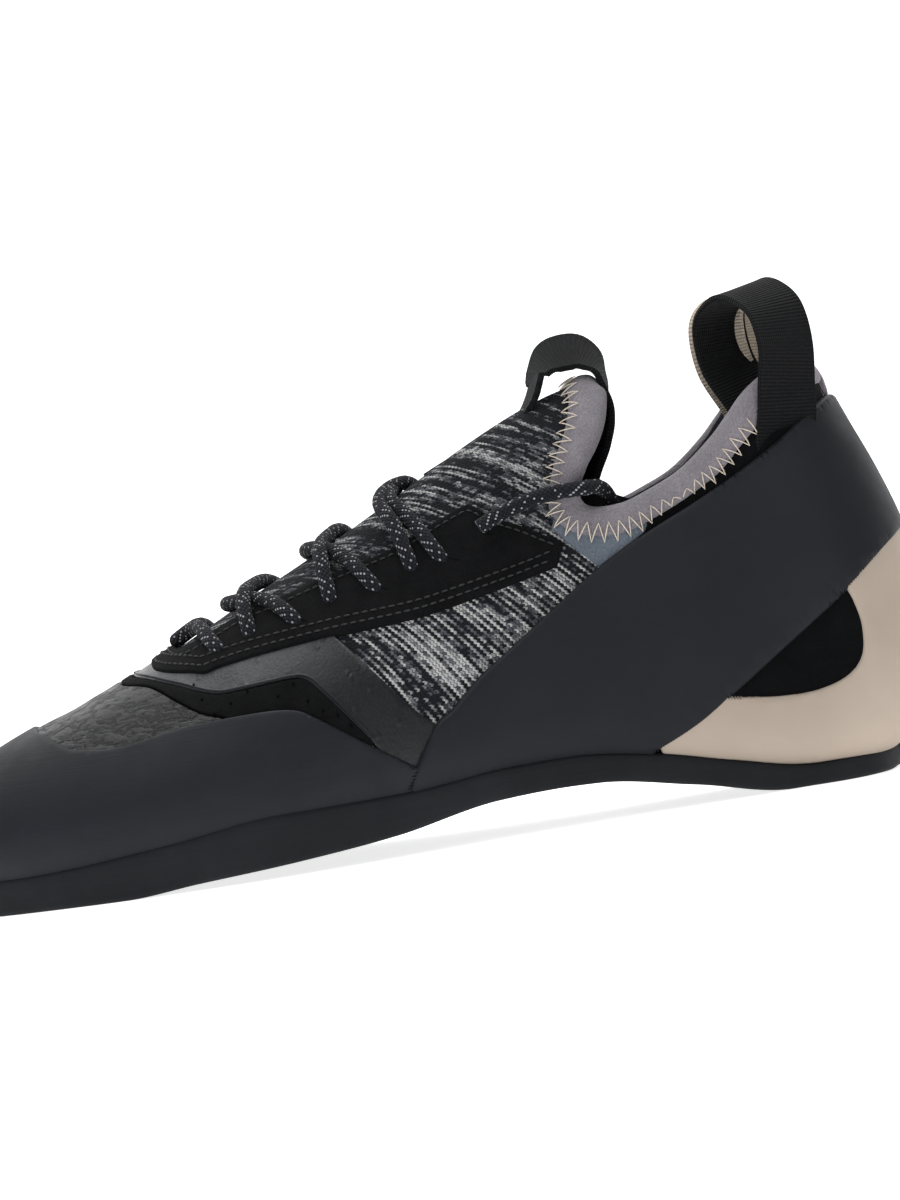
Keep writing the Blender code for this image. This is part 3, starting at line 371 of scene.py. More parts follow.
@dataclass(frozen=True)
class Last:
    """The foot form that every sheet lies on."""

    length: float = 0.2538
    width: float = 0.0840
    instep: float = 0.1055
    heel: float = 0.1000
    rest: float = 0.902
    sole: float = 0.0050

    def x(self, along: float | np.ndarray) -> float | np.ndarray:
        """World x of a share of the length."""
        return (along - self.rest) * self.length

    def side_line(self, points: Table, step: float = 0.0006) -> np.ndarray:
        """A smooth side outline in world x and z through a table's points.

        Args:
            points: Points as shares along and up.
            step: Distance between the new points.

        Returns:
            The line's points.
        """
        curve = spline(points, np.linspace(0, len(points) - 1, (len(points) - 1) * 12 + 1))
        line = np.column_stack([self.x(curve[:, 0]), curve[:, 1] * self.instep])
        return evenly(line, step)

    def seam(self, x: ArrayLike) -> np.ndarray:
        """Height of the sole's upper edge at x."""
        return self.sole + steady(SEAM, x, self.heel)

    def tread(self, x: ArrayLike) -> np.ndarray:
        """Height of the sole's underside at x."""
        return steady(TREAD, x, self.heel)

    def skin(self, station: ArrayLike, turn: ArrayLike) -> np.ndarray:
        """Points on the last.

        Args:
            station: Rows of the section table, with fractions.
            turn: Angles round the section: 0 inner, a quarter turn the ridge, a half turn outer.

        Returns:
            World points in the same order.
        """
        rows = np.moveaxis(spline(SECTIONS, station), -1, 0)
        under, under_up, over, over_up, outer, inner, ridge, middle, brow, keel = rows
        sine, cosine = np.sin(turn), np.cos(turn)
        power = 2 / np.where(sine >= 0, brow, keel)
        swing = np.sign(cosine) * np.abs(cosine) ** power
        rise = np.where(sine >= 0, 1 - middle, -middle) * np.abs(sine) ** power
        lift = np.clip(rise / (1 - middle), 0, 1)
        lift = lift**2 * (3 - 2 * lift)
        centre = (inner - outer) / 2
        x = self.x(under + (over - under) * (middle + rise))
        z = self.sole + under_up * self.heel + over_up * self.instep * (middle + rise)
        y = self.width * (centre + (ridge - centre) * lift + (inner + outer) / 2 * swing)
        return np.stack([x, y, z], axis=-1)

    def normal(self, station: ArrayLike, turn: ArrayLike) -> np.ndarray:
        """Outward directions at points on the last.

        Args:
            station: Rows of the section table, with fractions.
            turn: Angles round the section.

        Returns:
            Directions of length one.
        """
        top = len(SECTIONS) - 1.001
        station = np.clip(station, 0.12, top)
        ahead = self.skin(np.minimum(station + 0.05, top), turn) - self.skin(station - 0.05, turn)
        round_it = self.skin(station, turn + 0.03) - self.skin(station, turn - 0.03)
        return unit(np.cross(round_it, ahead))

    def place(self, station: ArrayLike, turn: ArrayLike, lift: ArrayLike = 0.0) -> np.ndarray:
        """Points at a height over the last, with the creases in it.

        Args:
            station: Rows of the section table, with fractions.
            turn: Angles round the section.
            lift: Height over the last.

        Returns:
            World points.
        """
        points = self.skin(station, turn)
        lift = np.asarray(lift, dtype=float) + self.relief(points)
        return points + lift[..., None] * self.normal(station, turn)

    def relief(self, points: np.ndarray) -> np.ndarray:
        """Height that the creases add at points on the last.

        Args:
            points: World points on the last.

        Returns:
            The height at each.
        """
        total = np.zeros(points.shape[:-1])
        side_view = np.stack([points[..., 0], points[..., 2]], axis=-1)
        for crease in CREASES:
            start = np.array([self.x(crease.start[0]), crease.start[1] * self.instep])
            run = np.array([self.x(crease.end[0]), crease.end[1] * self.instep]) - start
            share = np.clip(((side_view - start) @ run) / (run @ run), 0, 1)
            gap = np.linalg.norm(side_view - start - share[..., None] * run, axis=-1)
            fade = np.sin(np.pi * np.clip(share * 0.9 + 0.05, 0, 1))
            total += crease.height * np.exp(-((gap / crease.width) ** 2)) * fade
        return total

    def locate(self, line: np.ndarray, side: Side, lift: float) -> tuple[np.ndarray, np.ndarray, np.ndarray]:
        """Where side points fall on the last.

        Args:
            line: World x and z of each point.
            side: The side of the shoe that is looked at.
            lift: Height over the last.

        Returns:
            Stations, turns, and how far each point stays from its target.
        """
        low, high = RIDGE, math.radians(262)
        stations, turns = np.meshgrid(
            np.linspace(0.02, LAST_STATION, 190), np.linspace(low, high, 90), indexing="ij",
        )
        if side is Side.INNER:
            turns = math.pi - turns
            low, high = math.pi - high, math.pi - low
        coarse = self.place(stations, turns, lift)[..., [0, 2]].reshape(-1, 2)
        found = []
        for part in np.array_split(line, max(1, len(line) // 64)):
            gap = np.linalg.norm(coarse[None, :, :] - part[:, None, :], axis=2)
            found.append(np.argmin(gap, axis=1))
        best = np.concatenate(found)
        station, turn = stations.reshape(-1)[best], turns.reshape(-1)[best]
        for _ in range(8):
            here = self.place(station, turn, lift)[:, [0, 2]]
            by_station = (self.place(station + 0.01, turn, lift)[:, [0, 2]] - here) / 0.01
            by_turn = (self.place(station, turn + 0.004, lift)[:, [0, 2]] - here) / 0.004
            miss = line - here
            cross = by_station[:, 0] * by_turn[:, 1] - by_station[:, 1] * by_turn[:, 0]
            cross = np.where(np.abs(cross) < 1e-7, 1e-7, cross)
            step_s = (miss[:, 0] * by_turn[:, 1] - miss[:, 1] * by_turn[:, 0]) / cross
            step_t = (by_station[:, 0] * miss[:, 1] - by_station[:, 1] * miss[:, 0]) / cross
            station = np.clip(station + np.clip(step_s, -0.25, 0.25), 0.0, 24.95)
            turn = np.clip(turn + np.clip(step_t, -0.12, 0.12), low, high)
        left = np.linalg.norm(self.place(station, turn, lift)[:, [0, 2]] - line, axis=1)
        return station, turn, left

    def spots(self, shares: Table, side: Side, lift: float) -> tuple[np.ndarray, np.ndarray]:
        """Stations and turns of single places.

        Args:
            shares: The places, as shares along and up.
            side: The side of the shoe that is looked at.
            lift: Height over the last.

        Returns:
            The stations and the turns.
        """
        line = np.array([(self.x(along), up * self.instep) for along, up in shares])
        return self.locate(line, side, lift)[:2]

    def run_length(self) -> np.ndarray:
        """Mean distance from the toe to each fine station.

        Returns:
            One distance for each of the fine stations.
        """
        turns = np.radians(np.linspace(-80, 260, 24))
        grid = self.skin(*np.meshgrid(RUN_STATIONS, turns, indexing="ij"))
        steps = np.linalg.norm(np.diff(grid, axis=0), axis=2).mean(axis=1)
        return np.concatenate([[0], np.cumsum(steps)])


LAST = Last()
RUN_LENGTHS = LAST.run_length()


def select_only(obj: bpy.types.Object) -> None:
    """Leaves one object selected and active.

    Args:
        obj: The object.
    """
    bpy.ops.object.select_all(action="DESELECT")
    obj.select_set(True)
    bpy.context.view_layer.objects.active = obj


def added(name: str, data: bpy.types.ID) -> bpy.types.Object:
    """A new object in the scene.

    Args:
        name: Its name.
        data: Its mesh, light or camera.

    Returns:
        The object.
    """
    obj = bpy.data.objects.new(name, data)
    bpy.context.scene.collection.objects.link(obj)
    return obj


def thicken(sheet: bpy.types.Object, thickness: float, offset: int) -> None:
    """Gives a sheet its thickness.

    Args:
        sheet: The sheet.
        thickness: How thick it becomes.
        offset: -1 to grow inwards, 1 outwards and 0 both ways.
    """
    wall = sheet.modifiers.new("wall", "SOLIDIFY")
    wall.thickness = thickness
    wall.offset = offset
    select_only(sheet)
    bpy.ops.object.modifier_apply(modifier=wall.name)


def smooth(obj: bpy.types.Object, angle: float = 40.0) -> None:
    """Shades an object smooth up to an angle in degrees."""
    select_only(obj)
    bpy.ops.object.shade_smooth_by_angle(angle=math.radians(angle))


def tidy_faces(obj: bpy.types.Object, merge: float = 1e-6) -> None:
    """Merges doubled points and turns the faces outwards.

    Args:
        obj: The object.
        merge: Points nearer than this are merged.
    """
    select_only(obj)
    bpy.ops.object.mode_set(mode="EDIT")
    bpy.ops.mesh.select_all(action="SELECT")
    bpy.ops.mesh.remove_doubles(threshold=merge)
    bpy.ops.mesh.normals_make_consistent(inside=False)
    bpy.ops.object.mode_set(mode="OBJECT")


def laid_grid(name: str, points: np.ndarray, cloth: np.ndarray) -> bpy.types.Object:
    """A grid primitive whose points are laid on given places.

    Args:
        name: The piece's name.
        points: World points, as rows and columns.
        cloth: Flat coordinates of the same points in metres.

    Returns:
        The new piece, with its doubled points merged.
    """
    rows, columns = points.shape[:2]
    bpy.ops.object.select_all(action="DESELECT")
    bpy.ops.mesh.primitive_grid_add(x_subdivisions=columns - 1, y_subdivisions=rows - 1, size=1)
    piece = bpy.context.active_object
    piece.name = name
    piece.data.name = name
    piece.data.vertices.foreach_set("co", points.reshape(-1, 3).ravel())
    lay_cloth(piece, cloth.reshape(-1, 2))
    tidy_faces(piece)
    return piece


def lay_cloth(piece: bpy.types.Object, cloth: np.ndarray) -> None:
    """Gives each corner of the mesh the flat coordinates of its point.

    Args:
        piece: The piece.
        cloth: Flat coordinates of each point.
    """
    mesh = piece.data
    layer = mesh.uv_layers.active or mesh.uv_layers.new(name="UVMap")
    corners = np.empty(len(mesh.loops), dtype=np.int64)
    mesh.loops.foreach_get("vertex_index", corners)
    layer.data.foreach_set("uv", cloth[corners].astype(np.float32).ravel())


def inside(points: np.ndarray, outline: np.ndarray) -> np.ndarray:
    """Whether flat points lie within a closed outline.

    Args:
        points: The points.
        outline: The outline's points in order.

    Returns:
        True where a point lies within.
    """
    hit = np.zeros(len(points), dtype=bool)
    previous = np.roll(outline, 1, axis=0)
    for (x0, y0), (x1, y1) in zip(previous, outline):
        if y0 == y1:
            continue
        crosses = (points[:, 1] > min(y0, y1)) & (points[:, 1] <= max(y0, y1))
        at = x0 + (points[:, 1] - y0) * (x1 - x0) / (y1 - y0)
        hit ^= crosses & (points[:, 0] < at)
    return hit


def gap_to(points: np.ndarray, line: np.ndarray) -> np.ndarray:
    """Distance from each point to a closed line.

    Args:
        points: The points.
        line: The line's points in order.

    Returns:
        The distances.
    """
    best = np.full(len(points), np.inf)
    nxt = np.roll(line, -1, axis=0)
    for start, end in zip(line, nxt):
        run = end - start
        share = np.clip(((points - start) @ run) / max(run @ run, 1e-14), 0, 1)
        best = np.minimum(best, np.linalg.norm(points - start - share[:, None] * run, axis=1))
    return best


class Centre(Enum):
    """The middle line that a sheet crosses from one side to the other."""

    RIDGE = "ridge"
    BACK = "back"
    TOE = "toe"


@dataclass
class Sheet:
    """A sheet of even thickness that lies on the last, with a rounded edge.

    The chain is the side outline of one half, from the middle line back to the middle line.
    """

    name: str
    chain: np.ndarray
    top: float
    centre: Centre
    foot: float = -0.0002
    edge: float = 0.0008
    spacing: float = 0.0016
    backing: float = 0.0004
    single: Side | None = None

    def to_flat(self, station: np.ndarray, turn: np.ndarray) -> np.ndarray:
        """Flat working coordinates of places on the last.

        Args:
            station: Rows of the section table, with fractions.
            turn: Angles round the section.

        Returns:
            One flat point for each place.
        """
        run = np.interp(station, RUN_STATIONS, RUN_LENGTHS)
        if self.centre is Centre.TOE:
            return np.column_stack([run * np.cos(turn), run * np.sin(turn)])
        return np.column_stack([run, turn * GIRTH])

    def from_flat(self, flat: np.ndarray) -> tuple[np.ndarray, np.ndarray]:
        """Stations and turns of flat working coordinates.

        Args:
            flat: The flat points.

        Returns:
            The stations and the turns.
        """
        if self.centre is Centre.TOE:
            run = np.hypot(flat[:, 0], flat[:, 1])
            return np.interp(run, RUN_LENGTHS, RUN_STATIONS), np.arctan2(flat[:, 1], flat[:, 0])
        return np.interp(flat[:, 0], RUN_LENGTHS, RUN_STATIONS), flat[:, 1] / GIRTH

    def half(self, side: Side) -> np.ndarray:
        """Flat coordinates of one side's half of the outline.

        Args:
            side: The side.

        Returns:
            The flat points, with the middle line's two where the sheet crosses it.
        """
        station, turn, miss = LAST.locate(self.chain, side, self.top)
        good = np.flatnonzero(miss < EXACT)
        station, turn = station[good], turn[good]
        if self.centre is Centre.BACK and side is Side.OUTER:
            turn = turn - 2 * math.pi
        if self.single is None:
            ends = []
            for k in (0, -1):
                middle = -RIDGE if self.centre is Centre.BACK else RIDGE
                if self.centre is Centre.TOE and k == -1:
                    middle = 3 * RIDGE if side is Side.OUTER else -RIDGE
                ends.append((station[k], middle))
            station = np.concatenate([[ends[0][0]], station, [ends[1][0]]])
            turn = np.concatenate([[ends[0][1]], turn, [ends[1][1]]])
        return self.to_flat(station, turn)

    def outline(self) -> np.ndarray:
        """The whole outline in flat coordinates, with even steps over the surface.

        Returns:
            The flat points.
        """
        if self.single is not None:
            flat = self.half(self.single)
        else:
            flat = np.vstack([self.half(Side.OUTER), self.half(Side.INNER)[::-1]])
        keep = np.linalg.norm(flat - np.roll(flat, 1, axis=0), axis=1) > 2e-5
        flat = flat[keep]
        closed = np.vstack([flat, flat[:1]])
        world = LAST.place(*self.from_flat(closed), 0.0)
        run = runs(world)
        places = np.linspace(0, run[-1], int(run[-1] / 0.0007) + 1)[:-1]
        return np.column_stack([np.interp(places, run, closed[:, k]) for k in range(2)])

    def inward_rings(self, flat: np.ndarray, distances: tuple[float, ...]) -> list[np.ndarray]:
        """Rings of flat points at true distances inside the outline.

        Args:
            flat: The outline.
            distances: How far in each ring lies.

        Returns:
            One ring for each distance.
        """
        station, turn = self.from_flat(flat)
        world = LAST.place(station, turn, self.top)
        ahead = unit(np.roll(world, -1, axis=0) - np.roll(world, 1, axis=0))
        across = np.cross(LAST.normal(station, turn), ahead)
        step = 1e-4
        by_u = (LAST.place(*self.from_flat(flat + (step, 0)), self.top) - world) / step
        by_v = (LAST.place(*self.from_flat(flat + (0, step)), self.top) - world) / step
        uu, uv, vv = (by_u * by_u).sum(1), (by_u * by_v).sum(1), (by_v * by_v).sum(1)
        au, av = (by_u * across).sum(1), (by_v * across).sum(1)
        size = np.maximum(uu * vv - uv * uv, 1e-9)
        move = np.column_stack([(au * vv - av * uv) / size, (av * uu - au * uv) / size])
        inner = flat + move * 0.0004
        if inside(inner, flat).mean() < 0.5:
            move = -move
        return [flat + move * distance for distance in distances]

    def build(self) -> bpy.types.Object:
        """Builds the sheet as one closed piece.

        Returns:
            The piece.
        """
        outline = self.outline()
        distances = tuple(self.edge * share for share in (0.12, 0.34, 0.65, 1.0))
        border = LAST.place(*self.from_flat(outline), self.top)
        points = [outline]
        for ring, distance in zip(self.inward_rings(outline, distances), distances):
            near = gap_to(LAST.place(*self.from_flat(ring), self.top), border)
            points.append(ring[(near > distance * 0.85) & inside(ring, outline)])
        low, high = outline.min(axis=0), outline.max(axis=0)
        across = np.arange(low[0], high[0], self.spacing)
        along = np.arange(low[1], high[1], self.spacing * 0.86)
        grid = np.array([(x + (k % 2) * self.spacing / 2, y) for k, y in enumerate(along) for x in across])
        grid = grid[inside(grid, outline)]
        grid = grid[gap_to(LAST.place(*self.from_flat(grid), self.top), border) > self.edge * 1.5]
        points.append(grid)
        flat = np.vstack(points)
        count = len(outline)
        edges = [(k, (k + 1) % count) for k in range(count)]
        made, _, faces = delaunay_2d_cdt([Vector(p) for p in flat * 1000], edges, [], 0, 1e-5)[:3]
        flat = np.array([tuple(point) for point in made]) / 1000
        faces = np.array([face for face in faces if len(face) == 3])
        faces = faces[inside(flat[faces].mean(axis=1), outline)]
        gap = gap_to(LAST.place(*self.from_flat(flat), self.top), border)
        share = np.clip(gap / self.edge, 0, 1)
        lift = self.foot + (self.top - self.foot) * np.sqrt(1 - (1 - share) ** 2)
        world = LAST.place(*self.from_flat(flat), lift)
        mesh = bpy.data.meshes.new(self.name)
        mesh.from_pydata(world.tolist(), [], faces.tolist())
        piece = added(self.name, mesh)
        self.face_outwards(piece, flat)
        lay_cloth(piece, flat)
        thicken(piece, self.backing, -1)
        smooth(piece, 60)
        return piece

    def face_outwards(self, piece: bpy.types.Object, flat: np.ndarray) -> None:
        """Turns the faces away from the last.

        Args:
            piece: The piece.
            flat: Flat coordinates of its points.
        """
        normals = LAST.normal(*self.from_flat(flat))
        mesh = piece.data
        mesh.update()
        facing = sum(
            face.normal.dot(Vector(normals[face.vertices[0]])) for face in list(mesh.polygons)[::7]
        )
        if facing < 0:
            mesh.flip_normals()


def between(line: np.ndarray, first: float, last: float) -> np.ndarray:
    """The line's points whose x lies between two shares of the length."""
    keep = (line[:, 0] >= LAST.x(first)) & (line[:, 0] <= LAST.x(last))
    return line[keep]


def aside(line: np.ndarray, distance: float) -> np.ndarray:
    """The line moved to the left of its own direction.

    Args:
        line: The line's points.
        distance: How far it moves.

    Returns:
        The moved points.
    """
    ahead = unit(np.gradient(line, axis=0))
    return line + distance * np.column_stack([-ahead[:, 1], ahead[:, 0]])


def seam_line(first: float, last: float, lift: float) -> np.ndarray:
    """The sole's upper edge between two shares of the length, raised by lift."""
    x = np.linspace(LAST.x(first), LAST.x(last), 200)
    return evenly(np.column_stack([x, LAST.seam(x) + lift]), 0.0008)


def swept(
    name: str, route: np.ndarray, wide: np.ndarray, thick: np.ndarray, section: np.ndarray,
) -> bpy.types.Object:
    """A closed piece with one section along a route.

    Args:
        name: The piece's name.
        route: Points along the middle.
        wide: Direction of the section's first axis at each point.
        thick: Direction of the section's second axis at each point.
        section: The section's points, in metres.

    Returns:
        The new piece. Its flat coordinates run along the route and round the section.
    """
    ring = np.vstack([section, section[:1]])
    points = (
        route[:, None, :]
        + wide[:, None, :] * ring[None, :, :1]
        + thick[:, None, :] * ring[None, :, 1:]
    )
    ends = [np.repeat(route[k][None, None, :], len(ring), axis=1) for k in (0, -1)]
    points = np.concatenate([ends[0], points, ends[1]], axis=0)
    along = runs(route)
    along = np.concatenate([along[:1], along, along[-1:]])
    girth = runs(ring)
    cloth = np.stack(np.meshgrid(along, girth, indexing="ij"), axis=-1)
    piece = laid_grid(name, points, cloth)
    smooth(piece, 50)
    return piece


def frames(route: np.ndarray, hint: np.ndarray) -> tuple[np.ndarray, np.ndarray]:
    """Directions across a route, the first as near to the hints as can be.

    Args:
        route: Points along the middle.
        hint: The direction wanted at each.

    Returns:
        The first and the second direction at each point.
    """
    ahead = unit(np.gradient(route, axis=0))
    wide = unit(hint - ahead * (ahead * hint).sum(axis=1, keepdims=True))
    return wide, np.cross(ahead, wide)


def round_section(radius: float, count: int) -> np.ndarray:
    """Points of a circle."""
    turn = np.linspace(0, 2 * math.pi, count, endpoint=False)
    return radius * np.column_stack([np.cos(turn), np.sin(turn)])


class Nodes:
    """Builds one finish's nodes from short calls."""

    def __init__(self, name: str, colour: Colour, roughness: float) -> None:
        """Starts a material with a plain colour and roughness.

        Args:
            name: The material's name.
            colour: Its plain colour.
            roughness: Its roughness.
        """
        self.material = bpy.data.materials.new(name)
        self.material.use_nodes = True
        self.tree = self.material.node_tree
        self.shader = self.tree.nodes["Principled BSDF"]
        self.set("Base Color", (*colour, 1))
        self.set("Roughness", roughness)
        self.material.diffuse_color = (*colour, 1)

    def set(self, socket: str, value: float | tuple) -> None:
        """Sets a value on the shader's own socket."""
        self.shader.inputs[socket].default_value = value

    def link(self, source: Socket, target: Socket) -> None:
        """Joins two sockets."""
        self.tree.links.new(source, target)

    def add(self, kind: str, **settings: object) -> bpy.types.ShaderNode:
        """A new node with the given settings.

        Args:
            kind: The node's type.
            settings: Its settings.

        Returns:
            The node.
        """
        node = self.tree.nodes.new(kind)
        for key, value in settings.items():
            setattr(node, key, value)
        return node

    def feed(self, socket: Socket, value: Feed) -> None:
        """Links a socket's input, or sets it where the value is a number.

        Args:
            socket: The input.
            value: A number, a tuple or another node's output.
        """
        if isinstance(value, (int, float, tuple)):
            socket.default_value = value
        else:
            self.link(value, socket)

    def where(self, space: str = "Object", scale: Place = (1.0, 1.0, 1.0), turn: float = 0.0) -> Socket:
        """Coordinates of the piece, scaled and turned.

        Args:
            space: Which coordinates.
            scale: Scale along each axis.
            turn: Turn about the third axis.

        Returns:
            The coordinates.
        """
        source = self.add("ShaderNodeTexCoord")
        mapping = self.add("ShaderNodeMapping")
        self.link(source.outputs[space], mapping.inputs["Vector"])
        mapping.inputs["Scale"].default_value = scale
        mapping.inputs["Rotation"].default_value = (0, 0, turn)
        return mapping.outputs["Vector"]

    def noise(self, vector: Socket, scale: float, detail: float = 3.0, rough: float = 0.5) -> Socket:
        """A noise field.

        Args:
            vector: Where.
            scale: How fine.
            detail: Octaves.
            rough: Weight of the fine ones.

        Returns:
            The field.
        """
        node = self.add("ShaderNodeTexNoise")
        self.link(vector, node.inputs["Vector"])
        node.inputs["Scale"].default_value = scale
        node.inputs["Detail"].default_value = detail
        node.inputs["Roughness"].default_value = rough
        return node.outputs["Fac"]

    def cells(self, vector: Socket, scale: float, feature: str = "F1") -> Socket:
        """A field of cells.

        Args:
            vector: Where.
            scale: How fine.
            feature: Which distance in a cell.

        Returns:
            The field.
        """
        node = self.add("ShaderNodeTexVoronoi", feature=feature)
        self.link(vector, node.inputs["Vector"])
        node.inputs["Scale"].default_value = scale
        return node.outputs["Distance"]

    def math(self, operation: str, a: Feed, b: Feed = 0.0) -> Socket:
        """One sum of numbers.

        Args:
            operation: What is done.
            a: The first number.
            b: The second number.

        Returns:
            The result.
        """
        node = self.add("ShaderNodeMath", operation=operation)
        for socket, value in zip(node.inputs, (a, b)):
            self.feed(socket, value)
        return node.outputs[0]

    def ramp(self, field: Socket, stops: tuple) -> Socket:
        """A colour for each value of a field.

        Args:
            field: The field.
            stops: Places from 0 to 1, each with its colour or grey.

        Returns:
            The colour.
        """
        node = self.add("ShaderNodeValToRGB")
        self.link(field, node.inputs["Fac"])
        band = node.color_ramp
        while len(band.elements) < len(stops):
            band.elements.new(0.5)
        for element, (place, colour) in zip(band.elements, stops):
            element.position = place
            element.color = (*colour, 1) if isinstance(colour, tuple) else (colour, colour, colour, 1)
        return node.outputs["Color"]

    def span(self, field: Socket, low: float, high: float, to_low: float, to_high: float) -> Socket:
        """A field moved from one range to another.

        Args:
            field: The field.
            low: Where the old range starts.
            high: Where it ends.
            to_low: Where the new range starts.
            to_high: Where it ends.

        Returns:
            The moved field.
        """
        node = self.add("ShaderNodeMapRange")
        self.link(field, node.inputs["Value"])
        for name, value in (("From Min", low), ("From Max", high), ("To Min", to_low), ("To Max", to_high)):
            node.inputs[name].default_value = value
        return node.outputs["Result"]

    def mix(self, share: Feed, first: Feed, second: Feed) -> Socket:
        """Two colours mixed.

        Args:
            share: Share of the second.
            first: The first colour.
            second: The second colour.

        Returns:
            The mixed colour.
        """
        node = self.add("ShaderNodeMix", data_type="RGBA")
        self.feed(node.inputs["Factor"], share)
        for socket, value in ((node.inputs["A"], first), (node.inputs["B"], second)):
            self.feed(socket, (*value, 1) if isinstance(value, tuple) else value)
        return node.outputs["Result"]

    def split(self, vector: Socket) -> tuple[Socket, Socket, Socket]:
        """The three parts of a vector.

        Args:
            vector: The vector.

        Returns:
            Its parts.
        """
        node = self.add("ShaderNodeSeparateXYZ")
        self.link(vector, node.inputs["Vector"])
        return node.outputs["X"], node.outputs["Y"], node.outputs["Z"]

    def join(self, x: Feed, y: Feed, z: Feed = 0.0) -> Socket:
        """A vector of three parts.

        Args:
            x: The first part.
            y: The second part.
            z: The third part.

        Returns:
            The vector.
        """
        node = self.add("ShaderNodeCombineXYZ")
        for socket, value in zip(node.inputs, (x, y, z)):
            self.feed(socket, value)
        return node.outputs["Vector"]

    def chance(self, vector: Socket) -> Socket:
        """One random number for each whole-numbered place.

        Args:
            vector: The place.

        Returns:
            The number.
        """
        node = self.add("ShaderNodeTexWhiteNoise", noise_dimensions="3D")
        self.link(vector, node.inputs["Vector"])
        return node.outputs["Value"]

    def bump(self, height: Socket, strength: float, distance: float, under: Socket | None = None) -> Socket:
        """A bump in the surface.

        Args:
            height: The height field.
            strength: How strong.
            distance: The height's size in metres.
            under: A bump that lies under this one.

        Returns:
            The normal.
        """
        node = self.add("ShaderNodeBump")
        node.inputs["Strength"].default_value = strength
        node.inputs["Distance"].default_value = distance
        self.link(height, node.inputs["Height"])
        if under is not None:
            self.link(under, node.inputs["Normal"])
        return node.outputs["Normal"]

    def show(self, socket: str, source: Socket) -> None:
        """Leads a field into the shader."""
        self.link(source, self.shader.inputs[socket])


@dataclass(frozen=True)
class Rubber:
    """Smooth moulded rubber with faint mottling and rubbed streaks."""

    name: str
    colour: Colour = (0.020, 0.022, 0.026)
    pale: Colour = (0.030, 0.033, 0.038)
    roughness: float = 0.52
    streaks: float = 0.25

    def make(self) -> bpy.types.Material:
        """Builds the finish.

        Returns:
            The material.
        """
        n = Nodes(self.name, self.colour, self.roughness)
        place = n.where()
        clouds = n.noise(place, 22, 4, 0.6)
        n.show("Base Color", n.mix(n.span(clouds, 0.35, 0.7, 0, 1), self.colour, self.pale))
        fine = n.noise(place, 2600, 3, 0.6)
        rubbed = n.noise(n.where(scale=(60, 60, 1900)), 1, 4, 0.6)
        grain = n.bump(fine, 0.10, 0.0003)
        n.show("Normal", n.bump(rubbed, self.streaks, 0.0002, grain))
        n.show("Roughness", n.span(n.noise(place, 70, 5, 0.6), 0.3, 0.7, self.roughness - 0.07,
                                   self.roughness + 0.1))
        n.set("Specular IOR Level", 0.11)
        return n.material


@dataclass(frozen=True)
class Leather:
    """Soft grained sheet with a shine on its folds."""

    name: str
    colour: Colour = (0.0035, 0.0038, 0.0046)

    def make(self) -> bpy.types.Material:
        """Builds the finish.

        Returns:
            The material.
        """
        n = Nodes(self.name, self.colour, 0.42)
        place = n.where()
        pebble = n.cells(place, 1500, "SMOOTH_F1")
        warp = n.noise(place, 90, 3, 0.6)
        folds = n.noise(n.where(scale=(170, 210, 640), turn=0.3), 1, 6, 0.68)
        creased = n.math("ABSOLUTE", n.math("SUBTRACT", folds, 0.5))
        crest = n.span(creased, 0.0, 0.10, 0.0, 1.0)
        n.show("Base Color", n.mix(n.span(warp, 0.3, 0.7, 0, 1), self.colour, (0.0070, 0.0075, 0.0090)))
        n.show("Roughness", n.span(folds, 0.3, 0.7, 0.28, 0.46))
        n.show("Normal", n.bump(crest, 0.8, 0.0007, n.bump(pebble, 0.3, 0.0003, n.bump(folds, 1.0, 0.0016))))
        n.set("Specular IOR Level", 0.26)
        return n.material


@dataclass(frozen=True)
class Film:
    """Thin glossy film over dark cloth, with a faint weave under it and a painted highlight towards the toe.
    """

    name: str
    colour: Colour = (0.0040, 0.0045, 0.0060)

    def make(self) -> bpy.types.Material:
        """Builds the finish.

        Returns:
            The material.
        """
        n = Nodes(self.name, self.colour, 0.30)
        cloth = n.where("UV")
        weave = n.cells(n.where("UV", (1, 1.3, 1)), 1300)
        place = n.where()
        # Painted highlight: the film's colours run paler towards the toe and darker towards the back,
        # standing for light from above.
        ahead, _, _ = n.split(place)
        back = n.span(ahead, -0.142, -0.118, 0.0, 1.0)
        pale = n.mix(back, (0.030, 0.032, 0.037), (0.0085, 0.0095, 0.0120))
        deep = n.mix(back, (0.014, 0.015, 0.018), self.colour)
        n.show("Base Color", n.mix(n.span(weave, 0.1, 0.6, 0, 0.8), pale, deep))
        broad = n.noise(cloth, 90, 3, 0.5)
        n.show("Roughness", n.span(n.noise(place, 240, 3), 0.3, 0.7, 0.27, 0.42))
        speckle = n.noise(place, 4200, 2, 0.7)
        dots = n.span(n.cells(cloth, 260), 0.10, 0.24, 1.0, 0.0)
        grain = n.bump(speckle, 0.45, 0.0002, n.bump(weave, 0.30, 0.0002))
        n.show("Normal", n.bump(broad, 0.35, 0.0009, n.bump(dots, 0.35, 0.0005, grain)))
        n.set("Specular IOR Level", 0.22)
        n.set("Coat Weight", 0.12)
        n.set("Coat Roughness", 0.25)
        return n.material


